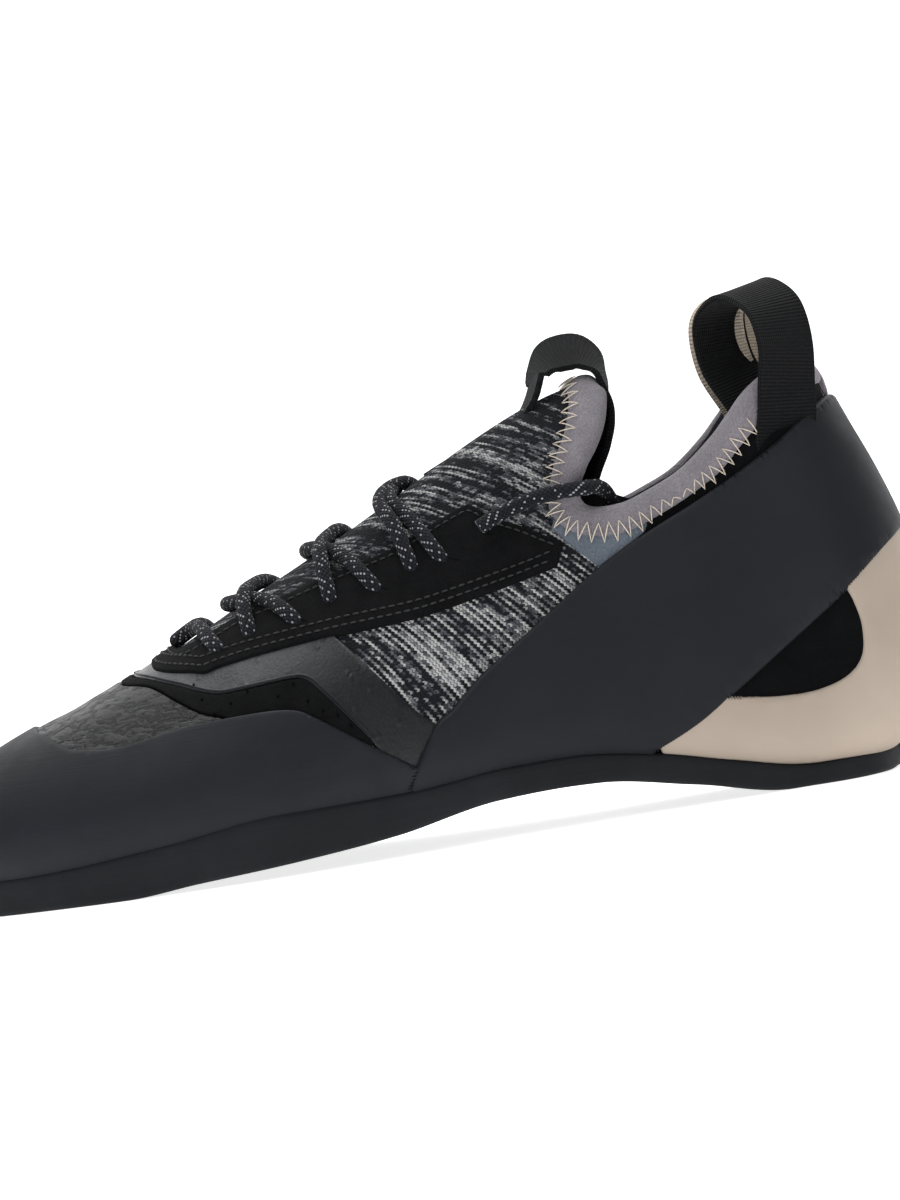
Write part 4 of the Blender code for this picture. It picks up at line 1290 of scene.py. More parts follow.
@dataclass(frozen=True)
class Nap:
    """Brushed sheet such as suede, matt, with short fibres that catch the light."""

    name: str
    colour: Colour = (0.0065, 0.0068, 0.0072)
    light: Colour = (0.016, 0.016, 0.018)
    sheen: float = 0.10

    def make(self) -> bpy.types.Material:
        """Builds the finish.

        Returns:
            The material.
        """
        n = Nodes(self.name, self.colour, 0.92)
        place = n.where()
        fibres = n.noise(place, 2300, 4, 0.75)
        patches = n.noise(place, 160, 4, 0.6)
        shade = n.math("ADD", n.math("MULTIPLY", fibres, 0.6), n.math("MULTIPLY", patches, 0.4))
        n.show("Base Color", n.mix(n.span(shade, 0.40, 0.66, 0, 1), self.colour, self.light))
        n.show("Normal", n.bump(fibres, 0.55, 0.0004, n.bump(patches, 0.25, 0.0006)))
        n.set("Sheen Weight", self.sheen)
        n.set("Sheen Roughness", 0.45)
        n.set("Specular IOR Level", 0.08)
        return n.material


@dataclass(frozen=True)
class Knit:
    """Knit of slanted stitches in rows, each stitch white, grey or dark, in drifting streaks, with painted
    shade in the grooves.
    """

    name: str
    wale: float = 0.00125
    course: float = 0.00072
    dark: Colour = (0.0075, 0.0085, 0.0120)
    grey: Colour = (0.085, 0.092, 0.106)
    white: Colour = (0.47, 0.47, 0.468)

    def make(self) -> bpy.types.Material:
        """Builds the finish.

        Returns:
            The material.
        """
        n = Nodes(self.name, self.grey, 0.92)
        u, v, _ = n.split(n.where("UV"))
        side = n.math("SQRT", n.math("ADD", n.math("MULTIPLY", v, v), 0.000016))
        lean = n.math("SUBTRACT", n.math("MULTIPLY", side, 1.1),
                      n.math("MULTIPLY", n.math("MULTIPLY", side, side), 5.5))
        across = n.math("MULTIPLY", n.math("SUBTRACT", u, lean), 0.80)
        along = n.math("MULTIPLY", v, 1.25)
        column = n.math("DIVIDE", along, self.wale)
        leg = n.math("ABSOLUTE", n.math("SUBTRACT", n.math("FRACT", column), 0.5))
        row = n.math("ADD", n.math("DIVIDE", across, self.course), n.math("MULTIPLY", leg, 0.95))
        line, stitch = n.math("FLOOR", row), n.math("FLOOR", column)
        ridge = n.math("SINE", n.math("MULTIPLY", n.math("FRACT", row), math.pi))
        inner = n.math("SUBTRACT", 1.0, n.math("MULTIPLY", leg, 2.0))
        loop = n.math("MULTIPLY", ridge, n.math("POWER", n.math("ADD", inner, 0.20), 0.22))
        streak = n.noise(n.join(n.math("MULTIPLY", along, 48.0), n.math("MULTIPLY", line, 1.1)), 1.0, 2, 0.5)
        drawn = n.join(n.math("MULTIPLY", along, 22.0), n.math("MULTIPLY", across, 230.0), 7.0)
        band = n.noise(drawn, 1.0, 2, 0.5)
        every = n.math("MODULO", n.math("ADD", line, 900.0), 2.0)
        striped = n.math("MULTIPLY", every, n.span(side, 0.022, 0.034, 0.04, 0.15))
        tone = n.math("ADD", n.math("ADD", n.math("MULTIPLY", n.chance(n.join(stitch, line)), 0.16), striped),
                      n.math("ADD", n.math("MULTIPLY", streak, 0.78), n.math("MULTIPLY", band, 0.55)))
        stops = ((0.0, self.dark), (0.755, self.dark), (0.82, self.grey), (0.935, self.white))
        colour = n.ramp(tone, stops)
        # Painted shade: the colour darkens towards near black where the stitch relief is low, in the grooves
        # between stitches.
        n.show("Base Color", n.mix(n.span(loop, 0.0, 0.5, 0.8, 0.0), colour, (0.006, 0.007, 0.009)))
        n.show("Normal", n.bump(loop, 0.9, 0.0005))
        n.set("Specular IOR Level", 0.15)
        n.set("Sheen Weight", 0.04)
        return n.material


@dataclass(frozen=True)
class Jersey:
    """Fine soft cloth with a faint heather."""

    name: str
    colour: Colour = (0.125, 0.115, 0.140)
    light: Colour = (0.205, 0.190, 0.222)
    weave: float = 2300.0

    def make(self) -> bpy.types.Material:
        """Builds the finish.

        Returns:
            The material.
        """
        n = Nodes(self.name, self.colour, 0.95)
        place = n.where()
        fibres = n.noise(place, self.weave, 3, 0.7)
        soft = n.noise(place, 130, 3, 0.5)
        tone = n.math("ADD", n.math("MULTIPLY", fibres, 0.7), n.math("MULTIPLY", soft, 0.3))
        n.show("Base Color", n.mix(n.span(tone, 0.36, 0.66, 0, 1), self.colour, self.light))
        rows = n.cells(n.where("UV", (1.0, 1.6, 1.0)), 1250)
        n.show("Normal", n.bump(rows, 0.55, 0.0004, n.bump(fibres, 0.8, 0.0004, n.bump(soft, 0.3, 0.0012))))
        n.set("Sheen Weight", 0.2)
        n.set("Sheen Roughness", 0.5)
        n.set("Specular IOR Level", 0.15)
        return n.material


@dataclass(frozen=True)
class Webbing:
    """Woven tape with ribs across it, with painted shade in the grooves between the ribs."""

    name: str
    colour: Colour = (0.0065, 0.0072, 0.0082)
    light: Colour = (0.022, 0.024, 0.027)
    rib: float = 0.00085

    def make(self) -> bpy.types.Material:
        """Builds the finish.

        Returns:
            The material.
        """
        n = Nodes(self.name, self.colour, 0.78)
        u, v, _ = n.split(n.where("UV"))
        rib = n.math("ABSOLUTE", n.math("SINE", n.math("MULTIPLY", u, math.pi / self.rib)))
        yarn = n.math("ABSOLUTE", n.math("SINE", n.math("MULTIPLY", v, math.pi / 0.00055)))
        height = n.math("ADD", rib, n.math("MULTIPLY", yarn, 0.45))
        fuzz = n.noise(n.where(), 1800, 3, 0.7)
        # Partly random tone from the fuzz, partly painted shade: the colour is darker where the ribs and
        # yarns are low.
        tone = n.math("MULTIPLY", height, n.math("ADD", fuzz, 0.4))
        n.show("Base Color", n.mix(n.span(tone, 0.2, 1.3, 0, 1), self.colour, self.light))
        n.show("Normal", n.bump(height, 0.9, 0.00035, n.bump(fuzz, 0.3, 0.0002)))
        n.set("Sheen Weight", 0.03)
        n.set("Specular IOR Level", 0.12)
        return n.material


@dataclass(frozen=True)
class Braid:
    """Round braided lace, dark with pale flecks in slanted rows, and painted shade in the grooves between
    strands.
    """

    name: str
    girth: float = 0.01162
    dark: Colour = (0.0030, 0.0034, 0.0050)
    thread: Colour = (0.0115, 0.0130, 0.0210)
    fleck: Colour = (0.33, 0.33, 0.36)

    def make(self) -> bpy.types.Material:
        """Builds the finish.

        Returns:
            The material.
        """
        n = Nodes(self.name, self.dark, 0.85)
        u, v, _ = n.split(n.where("UV"))
        around = n.math("MULTIPLY", v, 10.0 / self.girth)
        along = n.math("MULTIPLY", u, 1 / 0.00125)
        first = n.math("ADD", along, around)
        second = n.math("SUBTRACT", along, around)
        one = n.math("SINE", n.math("MULTIPLY", n.math("FRACT", first), math.pi))
        two = n.math("SINE", n.math("MULTIPLY", n.math("FRACT", second), math.pi))
        height = n.math("MULTIPLY", one, two)
        cell = n.join(n.math("FLOOR", first), n.math("FLOOR", second))
        every = n.math("LESS_THAN", n.math("MODULO", n.math("ADD", n.math("FLOOR", first), 900.0), 2.0), 0.5)
        lit = n.math("MULTIPLY", every, n.math("GREATER_THAN", n.chance(cell), 0.52))
        spot = n.math("MULTIPLY", lit, n.span(height, 0.45, 0.75, 0.0, 1.0))
        # Painted shade: the cloth colour runs from the dark colour in the grooves to the thread colour on the
        # crests.
        cloth = n.mix(height, self.dark, self.thread)
        n.show("Base Color", n.mix(spot, cloth, self.fleck))
        n.show("Normal", n.bump(height, 0.9, 0.0004))
        n.set("Sheen Weight", 0.03)
        n.set("Specular IOR Level", 0.2)
        return n.material


@dataclass(frozen=True)
class Thread:
    """Twisted sewing thread."""

    name: str
    colour: Colour

    def make(self) -> bpy.types.Material:
        """Builds the finish.

        Returns:
            The material.
        """
        n = Nodes(self.name, self.colour, 0.7)
        twist = n.noise(n.where(), 3500, 2, 0.5)
        dark = tuple(part * 0.7 for part in self.colour)
        n.show("Base Color", n.mix(n.span(twist, 0.35, 0.65, 0, 1), dark, self.colour))
        n.show("Normal", n.bump(twist, 0.5, 0.0002))
        n.set("Sheen Weight", 0.1)
        return n.material


@dataclass(frozen=True)
class Backdrop:
    """Plain pale paper, lit from behind."""

    name: str
    glow: float = 0.78

    def make(self) -> bpy.types.Material:
        """Builds the finish.

        Returns:
            The material.
        """
        n = Nodes(self.name, (0.9, 0.9, 0.9), 0.9)
        soft = n.noise(n.where(), 3, 2, 0.5)
        n.show("Base Color", n.mix(soft, (0.90, 0.90, 0.90), (0.92, 0.92, 0.92)))
        n.set("Specular IOR Level", 0.1)
        n.set("Emission Color", (1, 1, 1, 1))
        n.set("Emission Strength", self.glow)
        return n.material


@dataclass
class Studio:
    """The camera, the soft lights and the floor."""

    aim: Place = (-0.0871, -0.040, 0.0587)
    distance: float = 1.6
    frame_height: float = 0.2851
    roll: float = 9.2
    height_angle: float = 1.8
    finish: Backdrop = Backdrop("backdrop")
    lights: tuple[tuple[str, Place, float, float], ...] = (
        ("key", (-0.75, -0.55, 1.25), 0.9, 6),
        ("front", (0.25, -1.6, 0.75), 1.0, 3),
        ("top", (-0.1, 0.35, 1.4), 1.3, 20),
    )

    def build(self) -> None:
        """Sets the studio up."""
        forward = Vector((0, math.cos(math.radians(self.height_angle)),
                          -math.sin(math.radians(self.height_angle))))
        up = Vector((math.sin(math.radians(self.roll)), 0, math.cos(math.radians(self.roll))))
        right = forward.cross(up).normalized()
        up = right.cross(forward)
        camera = bpy.data.cameras.new("camera")
        camera.lens = 36 * self.distance / self.frame_height
        camera.sensor_width = 36
        camera.clip_start = 0.01
        camera.clip_end = 30
        obj = added("camera", camera)
        turn = Matrix((right, up, -forward)).transposed().to_4x4()
        obj.matrix_world = Matrix.Translation(Vector(self.aim) - forward * self.distance) @ turn
        bpy.context.scene.camera = obj
        for name, place, size, power in self.lights:
            self.light(name, place, size, power)
        world = bpy.data.worlds.new("studio")
        world.use_nodes = True
        world.node_tree.nodes["Background"].inputs["Color"].default_value = (1, 1, 1, 1)
        world.node_tree.nodes["Background"].inputs["Strength"].default_value = 0.30
        bpy.context.scene.world = world
        bpy.context.scene.view_settings.view_transform = "Standard"
        self.floor()

    def light(self, name: str, place: Place, size: float, power: float) -> None:
        """One large soft light, aimed at the shoe.

        Args:
            name: Its name.
            place: Where it stands.
            size: Its side.
            power: Its power.
        """
        data = bpy.data.lights.new(name, "AREA")
        data.size = size
        data.energy = power
        obj = added(name, data)
        obj.location = place
        obj.rotation_euler = (Vector(self.aim) - Vector(place)).to_track_quat("-Z", "Y").to_euler()

    def floor(self) -> None:
        """The floor, curved up into a backdrop far behind."""
        profile = [(-4.0, 0.0), (-1.0, 0.0), (1.5, 0.0), (2.2, 0.08), (2.8, 0.4), (3.1, 0.9), (3.2, 4.0)]
        line = spline(profile, np.linspace(0, len(profile) - 1, 49))
        line[:, 1] = np.maximum(line[:, 1], 0.0)
        line[line[:, 0] < 1.4, 1] = 0.0
        points = np.array([[(x, y, z) for x in np.linspace(-6, 6, 13)] for y, z in line])
        paper = laid_grid("floor", points, points[..., :2].copy())
        select_only(paper)
        paper.data.materials.append(self.finish.make())
        smooth(paper, 60)


Finish = Rubber | Leather | Film | Nap | Knit | Jersey | Webbing | Braid | Thread


@dataclass
class Dresser:
    """Gives each piece its finish and body, and hides the CAD nodes that it stands for."""

    made: dict[str, bpy.types.Material]

    def dress(self, piece: bpy.types.Object, finish: Finish, slot: str, nodes: tuple[str, ...] = ()) -> None:
        """Finishes a piece.

        Args:
            piece: The piece.
            finish: Its finish.
            slot: The record's material slot; not used.
            nodes: CAD nodes that it stands for.
        """
        piece.data.materials.clear()
        piece.data.materials.append(self.material(finish))
        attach(piece, "root")
        if nodes:
            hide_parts(*nodes)
        LOG.info("%s: %d faces", piece.name, len(piece.data.polygons))

    def material(self, finish: Finish) -> bpy.types.Material:
        """A finish's material, made once.

        Args:
            finish: The finish.

        Returns:
            Its material.
        """
        if finish.name not in self.made:
            self.made[finish.name] = finish.make()
        return self.made[finish.name]


RUBBER_TOE = Rubber("toe_rubber", (0.0115, 0.0125, 0.0155), (0.0165, 0.0180, 0.0225), 0.50, 0.34)
RUBBER_SLING = Rubber("sling_rubber", (0.0120, 0.0128, 0.0158), (0.0150, 0.0160, 0.0195), 0.50, 0.08)
RUBBER_TREAD = Rubber("tread_rubber", (0.0095, 0.0105, 0.0125), (0.0150, 0.0165, 0.0195), 0.58, 0.42)
RUBBER_BEIGE = Rubber("beige_rubber", (0.345, 0.290, 0.241), (0.405, 0.342, 0.284), 0.60, 0.08)
LEATHER = Leather("leather")
FILM = Film("film")
MICROSUEDE = Nap("microsuede", (0.0026, 0.0028, 0.0031), (0.0068, 0.0070, 0.0077), 0.0)
SUEDE = Nap("suede", (0.0024, 0.0026, 0.0030), (0.0075, 0.0077, 0.0085), 0.008)
KNIT = Knit("knit")
JERSEY = Jersey("binding_cloth", (0.150, 0.138, 0.155), (0.265, 0.248, 0.272))
LINING = Jersey("lining", (0.010, 0.011, 0.013), (0.022, 0.024, 0.028), 1800.0)
FELT = Jersey("insole_felt", (0.060, 0.058, 0.055), (0.11, 0.105, 0.095), 1500.0)
BLUE_CLOTH = Jersey("blue_cloth", (0.085, 0.105, 0.135), (0.150, 0.175, 0.210), 2600.0)
BLACK_PANEL = Nap("black_panel", (0.0018, 0.0020, 0.0024), (0.0042, 0.0045, 0.0050), 0.0)
TAPE_BLACK = Webbing("black_tape", (0.0012, 0.0014, 0.0018), (0.0050, 0.0056, 0.0068))
TAPE_BEIGE = Webbing("beige_tape", (0.34, 0.285, 0.225), (0.60, 0.52, 0.43))
LACE = Braid("lace")
HOLE_BLACK = Nap("hole_black", (0.0006, 0.0006, 0.0008), (0.0010, 0.0010, 0.0012), 0.0)
CREAM = Thread("cream_thread", (0.66, 0.58, 0.48))
DARK_THREAD = Thread("dark_thread", (0.0042, 0.0042, 0.0048))


@dataclass
class Lacing:
    """The lace: bar, crossings and its two free ends."""

    dresser: Dresser
    diameter: float = 0.0037
    lift: float = 0.0015 + 0.0037 / 2
    turns: int = 14

    def side_rows(self, places: Table, side: Side) -> list[Place]:
        """Station, turn and height of the places that a strand passes on one side."""
        station, turn = LAST.spots([place[:2] for place in places], side, self.lift)
        return [(float(s), float(t), place[2]) for s, t, place in zip(station, turn, places)]

    def strand(self, outer: Table, ridge: Table, inner: Table) -> np.ndarray:
        """Points of one strand over the tongue.

        Args:
            outer: The places that it passes on the outer side, from its eyelet up, as shares and a height.
            ridge: Its places near the ridge: share along, degrees towards the outer side, height.
            inner: The places that it passes on the inner side, from its eyelet up.

        Returns:
            The points from the outer eyelet to the inner one.
        """
        table = self.side_rows(outer, Side.OUTER)
        for along, degrees, height in ridge:
            station = float(np.interp(LAST.x(along), self.ridge_x, self.ridge_stations))
            table.append((station, math.radians(90 + degrees), height))
        table += self.side_rows(inner, Side.INNER)[::-1]
        curve = spline(table, np.linspace(0, len(table) - 1, 120))
        return evenly(LAST.place(curve[:, 0], curve[:, 1], curve[:, 2]), 0.0006)

    def __post_init__(self) -> None:
        """Works out the ridge once."""
        self.ridge_stations = np.linspace(4, 20, 400)
        self.ridge_x = LAST.skin(self.ridge_stations, np.full(400, RIDGE))[:, 0]

    def rope(self, name: str, route: np.ndarray) -> bpy.types.Object:
        """A lace tube along a route.

        Args:
            name: The piece's name.
            route: Points along the middle.

        Returns:
            The piece.
        """
        wide, thick = frames(route, np.tile((0.6, 0.0, 0.8), (len(route), 1)))
        return swept(name, route, wide, thick, round_section(self.diameter / 2, self.turns))

    def build_ends(self) -> None:
        """The two ends, from the last eyelets over the notch and down inside."""
        for name, side in (("lace_end_outer", 1), ("lace_end_inner", -1)):
            points = [(x, LACE_MIDDLE + side * (y - LACE_MIDDLE), z) for x, y, z in LACE_END]
            route = spline(points, np.linspace(0, len(points) - 1, 71))
            wide, thick = frames(route, np.tile((0.3, 0.9, 0.3), (len(route), 1)))
            rope = swept(f"{name}_rope", route, wide, thick, round_section(self.diameter / 2, self.turns))
            self.dresser.dress(rope, LACE, "lace", (name,))

    def build_runs(self) -> None:
        """The bar and the crossings over the tongue."""
        bar_side = ((0.3340, 0.538, -0.0006), (0.3250, 0.559, 0.0022), (0.3110, 0.586, 0.0022))
        bar = self.strand(bar_side, ((0.2960, 0, 0.0018),), bar_side)
        self.dresser.dress(self.rope("lace_bar_rope", bar), LACE, "lace", ("lace_bar",))
        for number, (over, under) in enumerate(STRANDS, start=1):
            for name, (outer, ridge, inner) in (("over", over), ("under", under)):
                rope = self.rope(f"lace_{number}_{name}", self.strand(outer, ridge, inner))
                self.dresser.dress(rope, LACE, "lace", (f"lace_crossing_{number}",))


@dataclass
class Bootie:
    """The knit upper, its panels below the collar, its lining and the insole."""

    dresser: Dresser
    wall: float = 0.0022
    sunk: float = -0.00005
    insole: float = 0.0014

    def build(self) -> None:
        """Builds the bootie."""
        self.build_shell()
        self.build_insole()
        self.build_panels()

    def ring_grid(self, stations: np.ndarray, turns: np.ndarray) -> tuple[np.ndarray, np.ndarray]:
        """A grid of points round the last and their flat coordinates.

        Args:
            stations: Rows of the section table, with fractions.
            turns: Angles round the section.

        Returns:
            The points and their flat coordinates.
        """
        s, t = np.meshgrid(stations, turns, indexing="ij")
        points = LAST.place(s, t, self.sunk)
        along = np.interp(s, RUN_STATIONS, RUN_LENGTHS)
        steps = np.linalg.norm(np.diff(points, axis=1), axis=2)
        girth = np.concatenate([np.zeros((len(stations), 1)), np.cumsum(steps, axis=1)], axis=1)
        top = int(np.argmin(np.abs(turns - RIDGE)))
        girth = girth - girth[:, top:top + 1]
        return points, np.stack([along, girth], axis=-1)

    def build_shell(self) -> None:
        """The bootie itself, open at the collar."""
        stations = np.linspace(0.0, LAST_STATION, 330)
        turns = np.radians(np.linspace(-90, 270, 241))
        points, cloth = self.ring_grid(stations, turns)
        shell = laid_grid("knit_upper", points, cloth)
        low = LAST.side_line(BINDING_LOW)
        high = LAST.side_line(BINDING_HIGH)
        along = np.linspace(0, 1, min(len(low), len(high)))
        middle = np.column_stack([
            0.55 * np.interp(along, np.linspace(0, 1, len(low)), low[:, k])
            + 0.45 * np.interp(along, np.linspace(0, 1, len(high)), high[:, k])
            for k in range(2)
        ])
        corners = [(0.2, middle[-1][1]), (0.2, 0.3), (middle[0][0], 0.3)]
        opening = np.vstack([middle, corners])
        select_only(shell)
        centres = np.array([tuple(face.center) for face in shell.data.polygons])
        gone = inside(centres[:, [0, 2]], opening)
        bpy.ops.object.mode_set(mode="EDIT")
        bpy.ops.mesh.select_all(action="DESELECT")
        bpy.ops.object.mode_set(mode="OBJECT")
        shell.data.polygons.foreach_set("select", gone)
        bpy.ops.object.mode_set(mode="EDIT")
        bpy.ops.mesh.delete(type="FACE")
        bpy.ops.object.mode_set(mode="OBJECT")
        outside = len(shell.data.polygons)
        thicken(shell, self.wall, -1)
        smooth(shell, 50)
        self.dresser.dress(shell, KNIT, "knit", ("upper",))
        shell.data.materials.append(self.dresser.material(LINING))
        within = np.arange(len(shell.data.polygons)) >= outside
        shell.data.polygons.foreach_set("material_index", within.astype(np.int32))

    def build_insole(self) -> None:
        """The insole on the floor of the shoe."""
        s, t = np.meshgrid(np.linspace(0.3, 16.8, 120), np.radians(np.linspace(-160, -20, 61)), indexing="ij")
        points = LAST.place(s, t, -self.wall - 0.0008)
        cloth = np.stack([np.interp(s, RUN_STATIONS, RUN_LENGTHS), t * GIRTH], axis=-1)
        sole = laid_grid("insole_felt", points, cloth)
        select_only(sole)
        middle = sole.data.polygons[len(sole.data.polygons) // 2]
        if middle.normal.z < 0:
            sole.data.flip_normals()
        thicken(sole, self.insole, 1)
        smooth(sole, 50)
        self.dresser.dress(sole, FELT, "insole", ("insole",))

    def build_panels(self) -> None:
        """The blue triangle, the black panel behind it and the black window in the heel."""
        under_sling = aside(LAST.side_line(SLING_LOW), UNDER_SLING)
        window = np.vstack([LAST.side_line(WINDOW), between(under_sling, 0.797, 0.924)[::-1]])
        for side in Side:
            piece = Sheet(f"heel_window_{side.value}", grown(window, 0.0020), 0.0011, Centre.BACK,
                          single=side, edge=0.0005).build()
            self.dresser.dress(piece, BLACK_PANEL, "microsuede")
        low = LAST.side_line(BINDING_LOW)
        sling = LAST.side_line(SLING_HIGH)
        panel = np.vstack([
            between(sling, 0.742, 0.945) + (0, -0.0015),
            between(low[low[:, 0] > LAST.x(0.742)], 0.742, 0.945)[::-1] + (0, 0.0015),
        ])
        triangle = np.array([
            (LAST.x(0.664), 0.0712), (LAST.x(0.703), 0.0602), (LAST.x(0.752), 0.0668),
            (LAST.x(0.757), 0.0695), (LAST.x(0.733), 0.0685), (LAST.x(0.703), 0.0688),
            (LAST.x(0.672), 0.0760),
        ])
        for side in Side:
            piece = Sheet(f"collar_panel_{side.value}", panel, 0.0005, Centre.BACK, single=side,
                          edge=0.0004).build()
            self.dresser.dress(piece, BLACK_PANEL, "microsuede")
            piece = Sheet(f"collar_triangle_{side.value}", evenly(triangle, 0.0008, True), 0.0006,
                          Centre.RIDGE, single=side, edge=0.0004).build()
            self.dresser.dress(piece, BLUE_CLOTH, "binding")


def grown(outline: np.ndarray, distance: float) -> np.ndarray:
    """A closed side outline made larger all round.

    Args:
        outline: The outline.
        distance: How far it moves out.

    Returns:
        The new outline.
    """
    centre = outline.mean(axis=0)
    away = outline - centre
    return outline + away / np.linalg.norm(away, axis=1, keepdims=True) * distance


@dataclass
class Overlays:
    """The rubber, patches, film and eyestay that lie on the bootie."""

    dresser: Dresser

    def build(self) -> None:
        """Builds each overlay from its side outline."""
        rand = LAST.side_line(RAND_EDGE)
        strip_front, strip_back = LAST.side_line(STRIP_FRONT), LAST.side_line(STRIP_BACK)
        stay_low, stay_high = LAST.side_line(EYESTAY_LOW), LAST.side_line(EYESTAY_HIGH)
        sling_high, sling_low = LAST.side_line(SLING_HIGH), LAST.side_line(SLING_LOW)
        window = LAST.side_line(WINDOW)
        joint = between(sling_high, 0.480, 0.504)
        under_sling = aside(sling_low, UNDER_SLING)
        toe = np.vstack([
            rand, joint[::-1] + (0.0016, 0), seam_line(-0.02, 0.490, -0.0012)[::-1],
        ])
        heel_sling = np.vstack([
            sling_high[::-1], seam_line(0.494, 0.728, -0.0012), sling_low,
        ])
        heel = np.vstack([
            between(under_sling, 0.926, 1.04)[::-1], aside(window, -0.0001)[::-1],
            between(under_sling, 0.729, 0.794)[::-1], seam_line(0.733, 1.02, -0.0012),
        ])
        patch = np.vstack([between(rand, 0, 0.331) + (0, -0.0014), strip_front[::-1]])
        strip = np.vstack([
            strip_front, between(rand, 0.332, 0.466) + (0, -0.0012), between(strip_back, 0, 0.468)[::-1],
        ])
        film = np.vstack([
            between(strip_back, 0, 0.468) + (-0.0008, 0), between(rand, 0.469, 0.503) + (0, -0.0012),
            between(sling_high, 0.505, 0.528) + (0.0008, 0), LAST.side_line(FILM_BACK)[::-1],
            between(stay_low, 0, 0.446)[::-1] + (0, 0.0016),
        ])
        stay = np.vstack([stay_low, stay_high[::-1]])
        jobs = (
            (Sheet("toe_rand_rubber", toe, 0.0020, Centre.TOE, edge=0.0010), RUBBER_TOE, "rubber_dark",
             "toe_rand"),
            (Sheet("sling_rubber", heel_sling, 0.0022, Centre.BACK, edge=0.0011), RUBBER_SLING, "rubber_dark",
             "heel_sling"),
            (Sheet("heel_rand_rubber", heel, 0.0019, Centre.BACK, edge=0.0009), RUBBER_BEIGE, "rubber_beige",
             "heel_rand"),
            (Sheet("toe_patch_leather", patch, 0.0012, Centre.RIDGE, edge=0.0007), LEATHER, "leather",
             "toe_patch"),
            (Sheet("strip_microsuede", strip, 0.0012, Centre.RIDGE, edge=0.0006), MICROSUEDE, "microsuede",
             "perforated_strip"),
            (Sheet("vamp_film_sheet", film, 0.0008, Centre.RIDGE, edge=0.0004), FILM, "film", "vamp_film"),
            (Sheet("eyestay_suede", stay, 0.0015, Centre.RIDGE, edge=0.0008), SUEDE, "suede", "eyestay"),
        )
        for sheet, finish, slot, node in jobs:
            self.dresser.dress(sheet.build(), finish, slot, (node,))


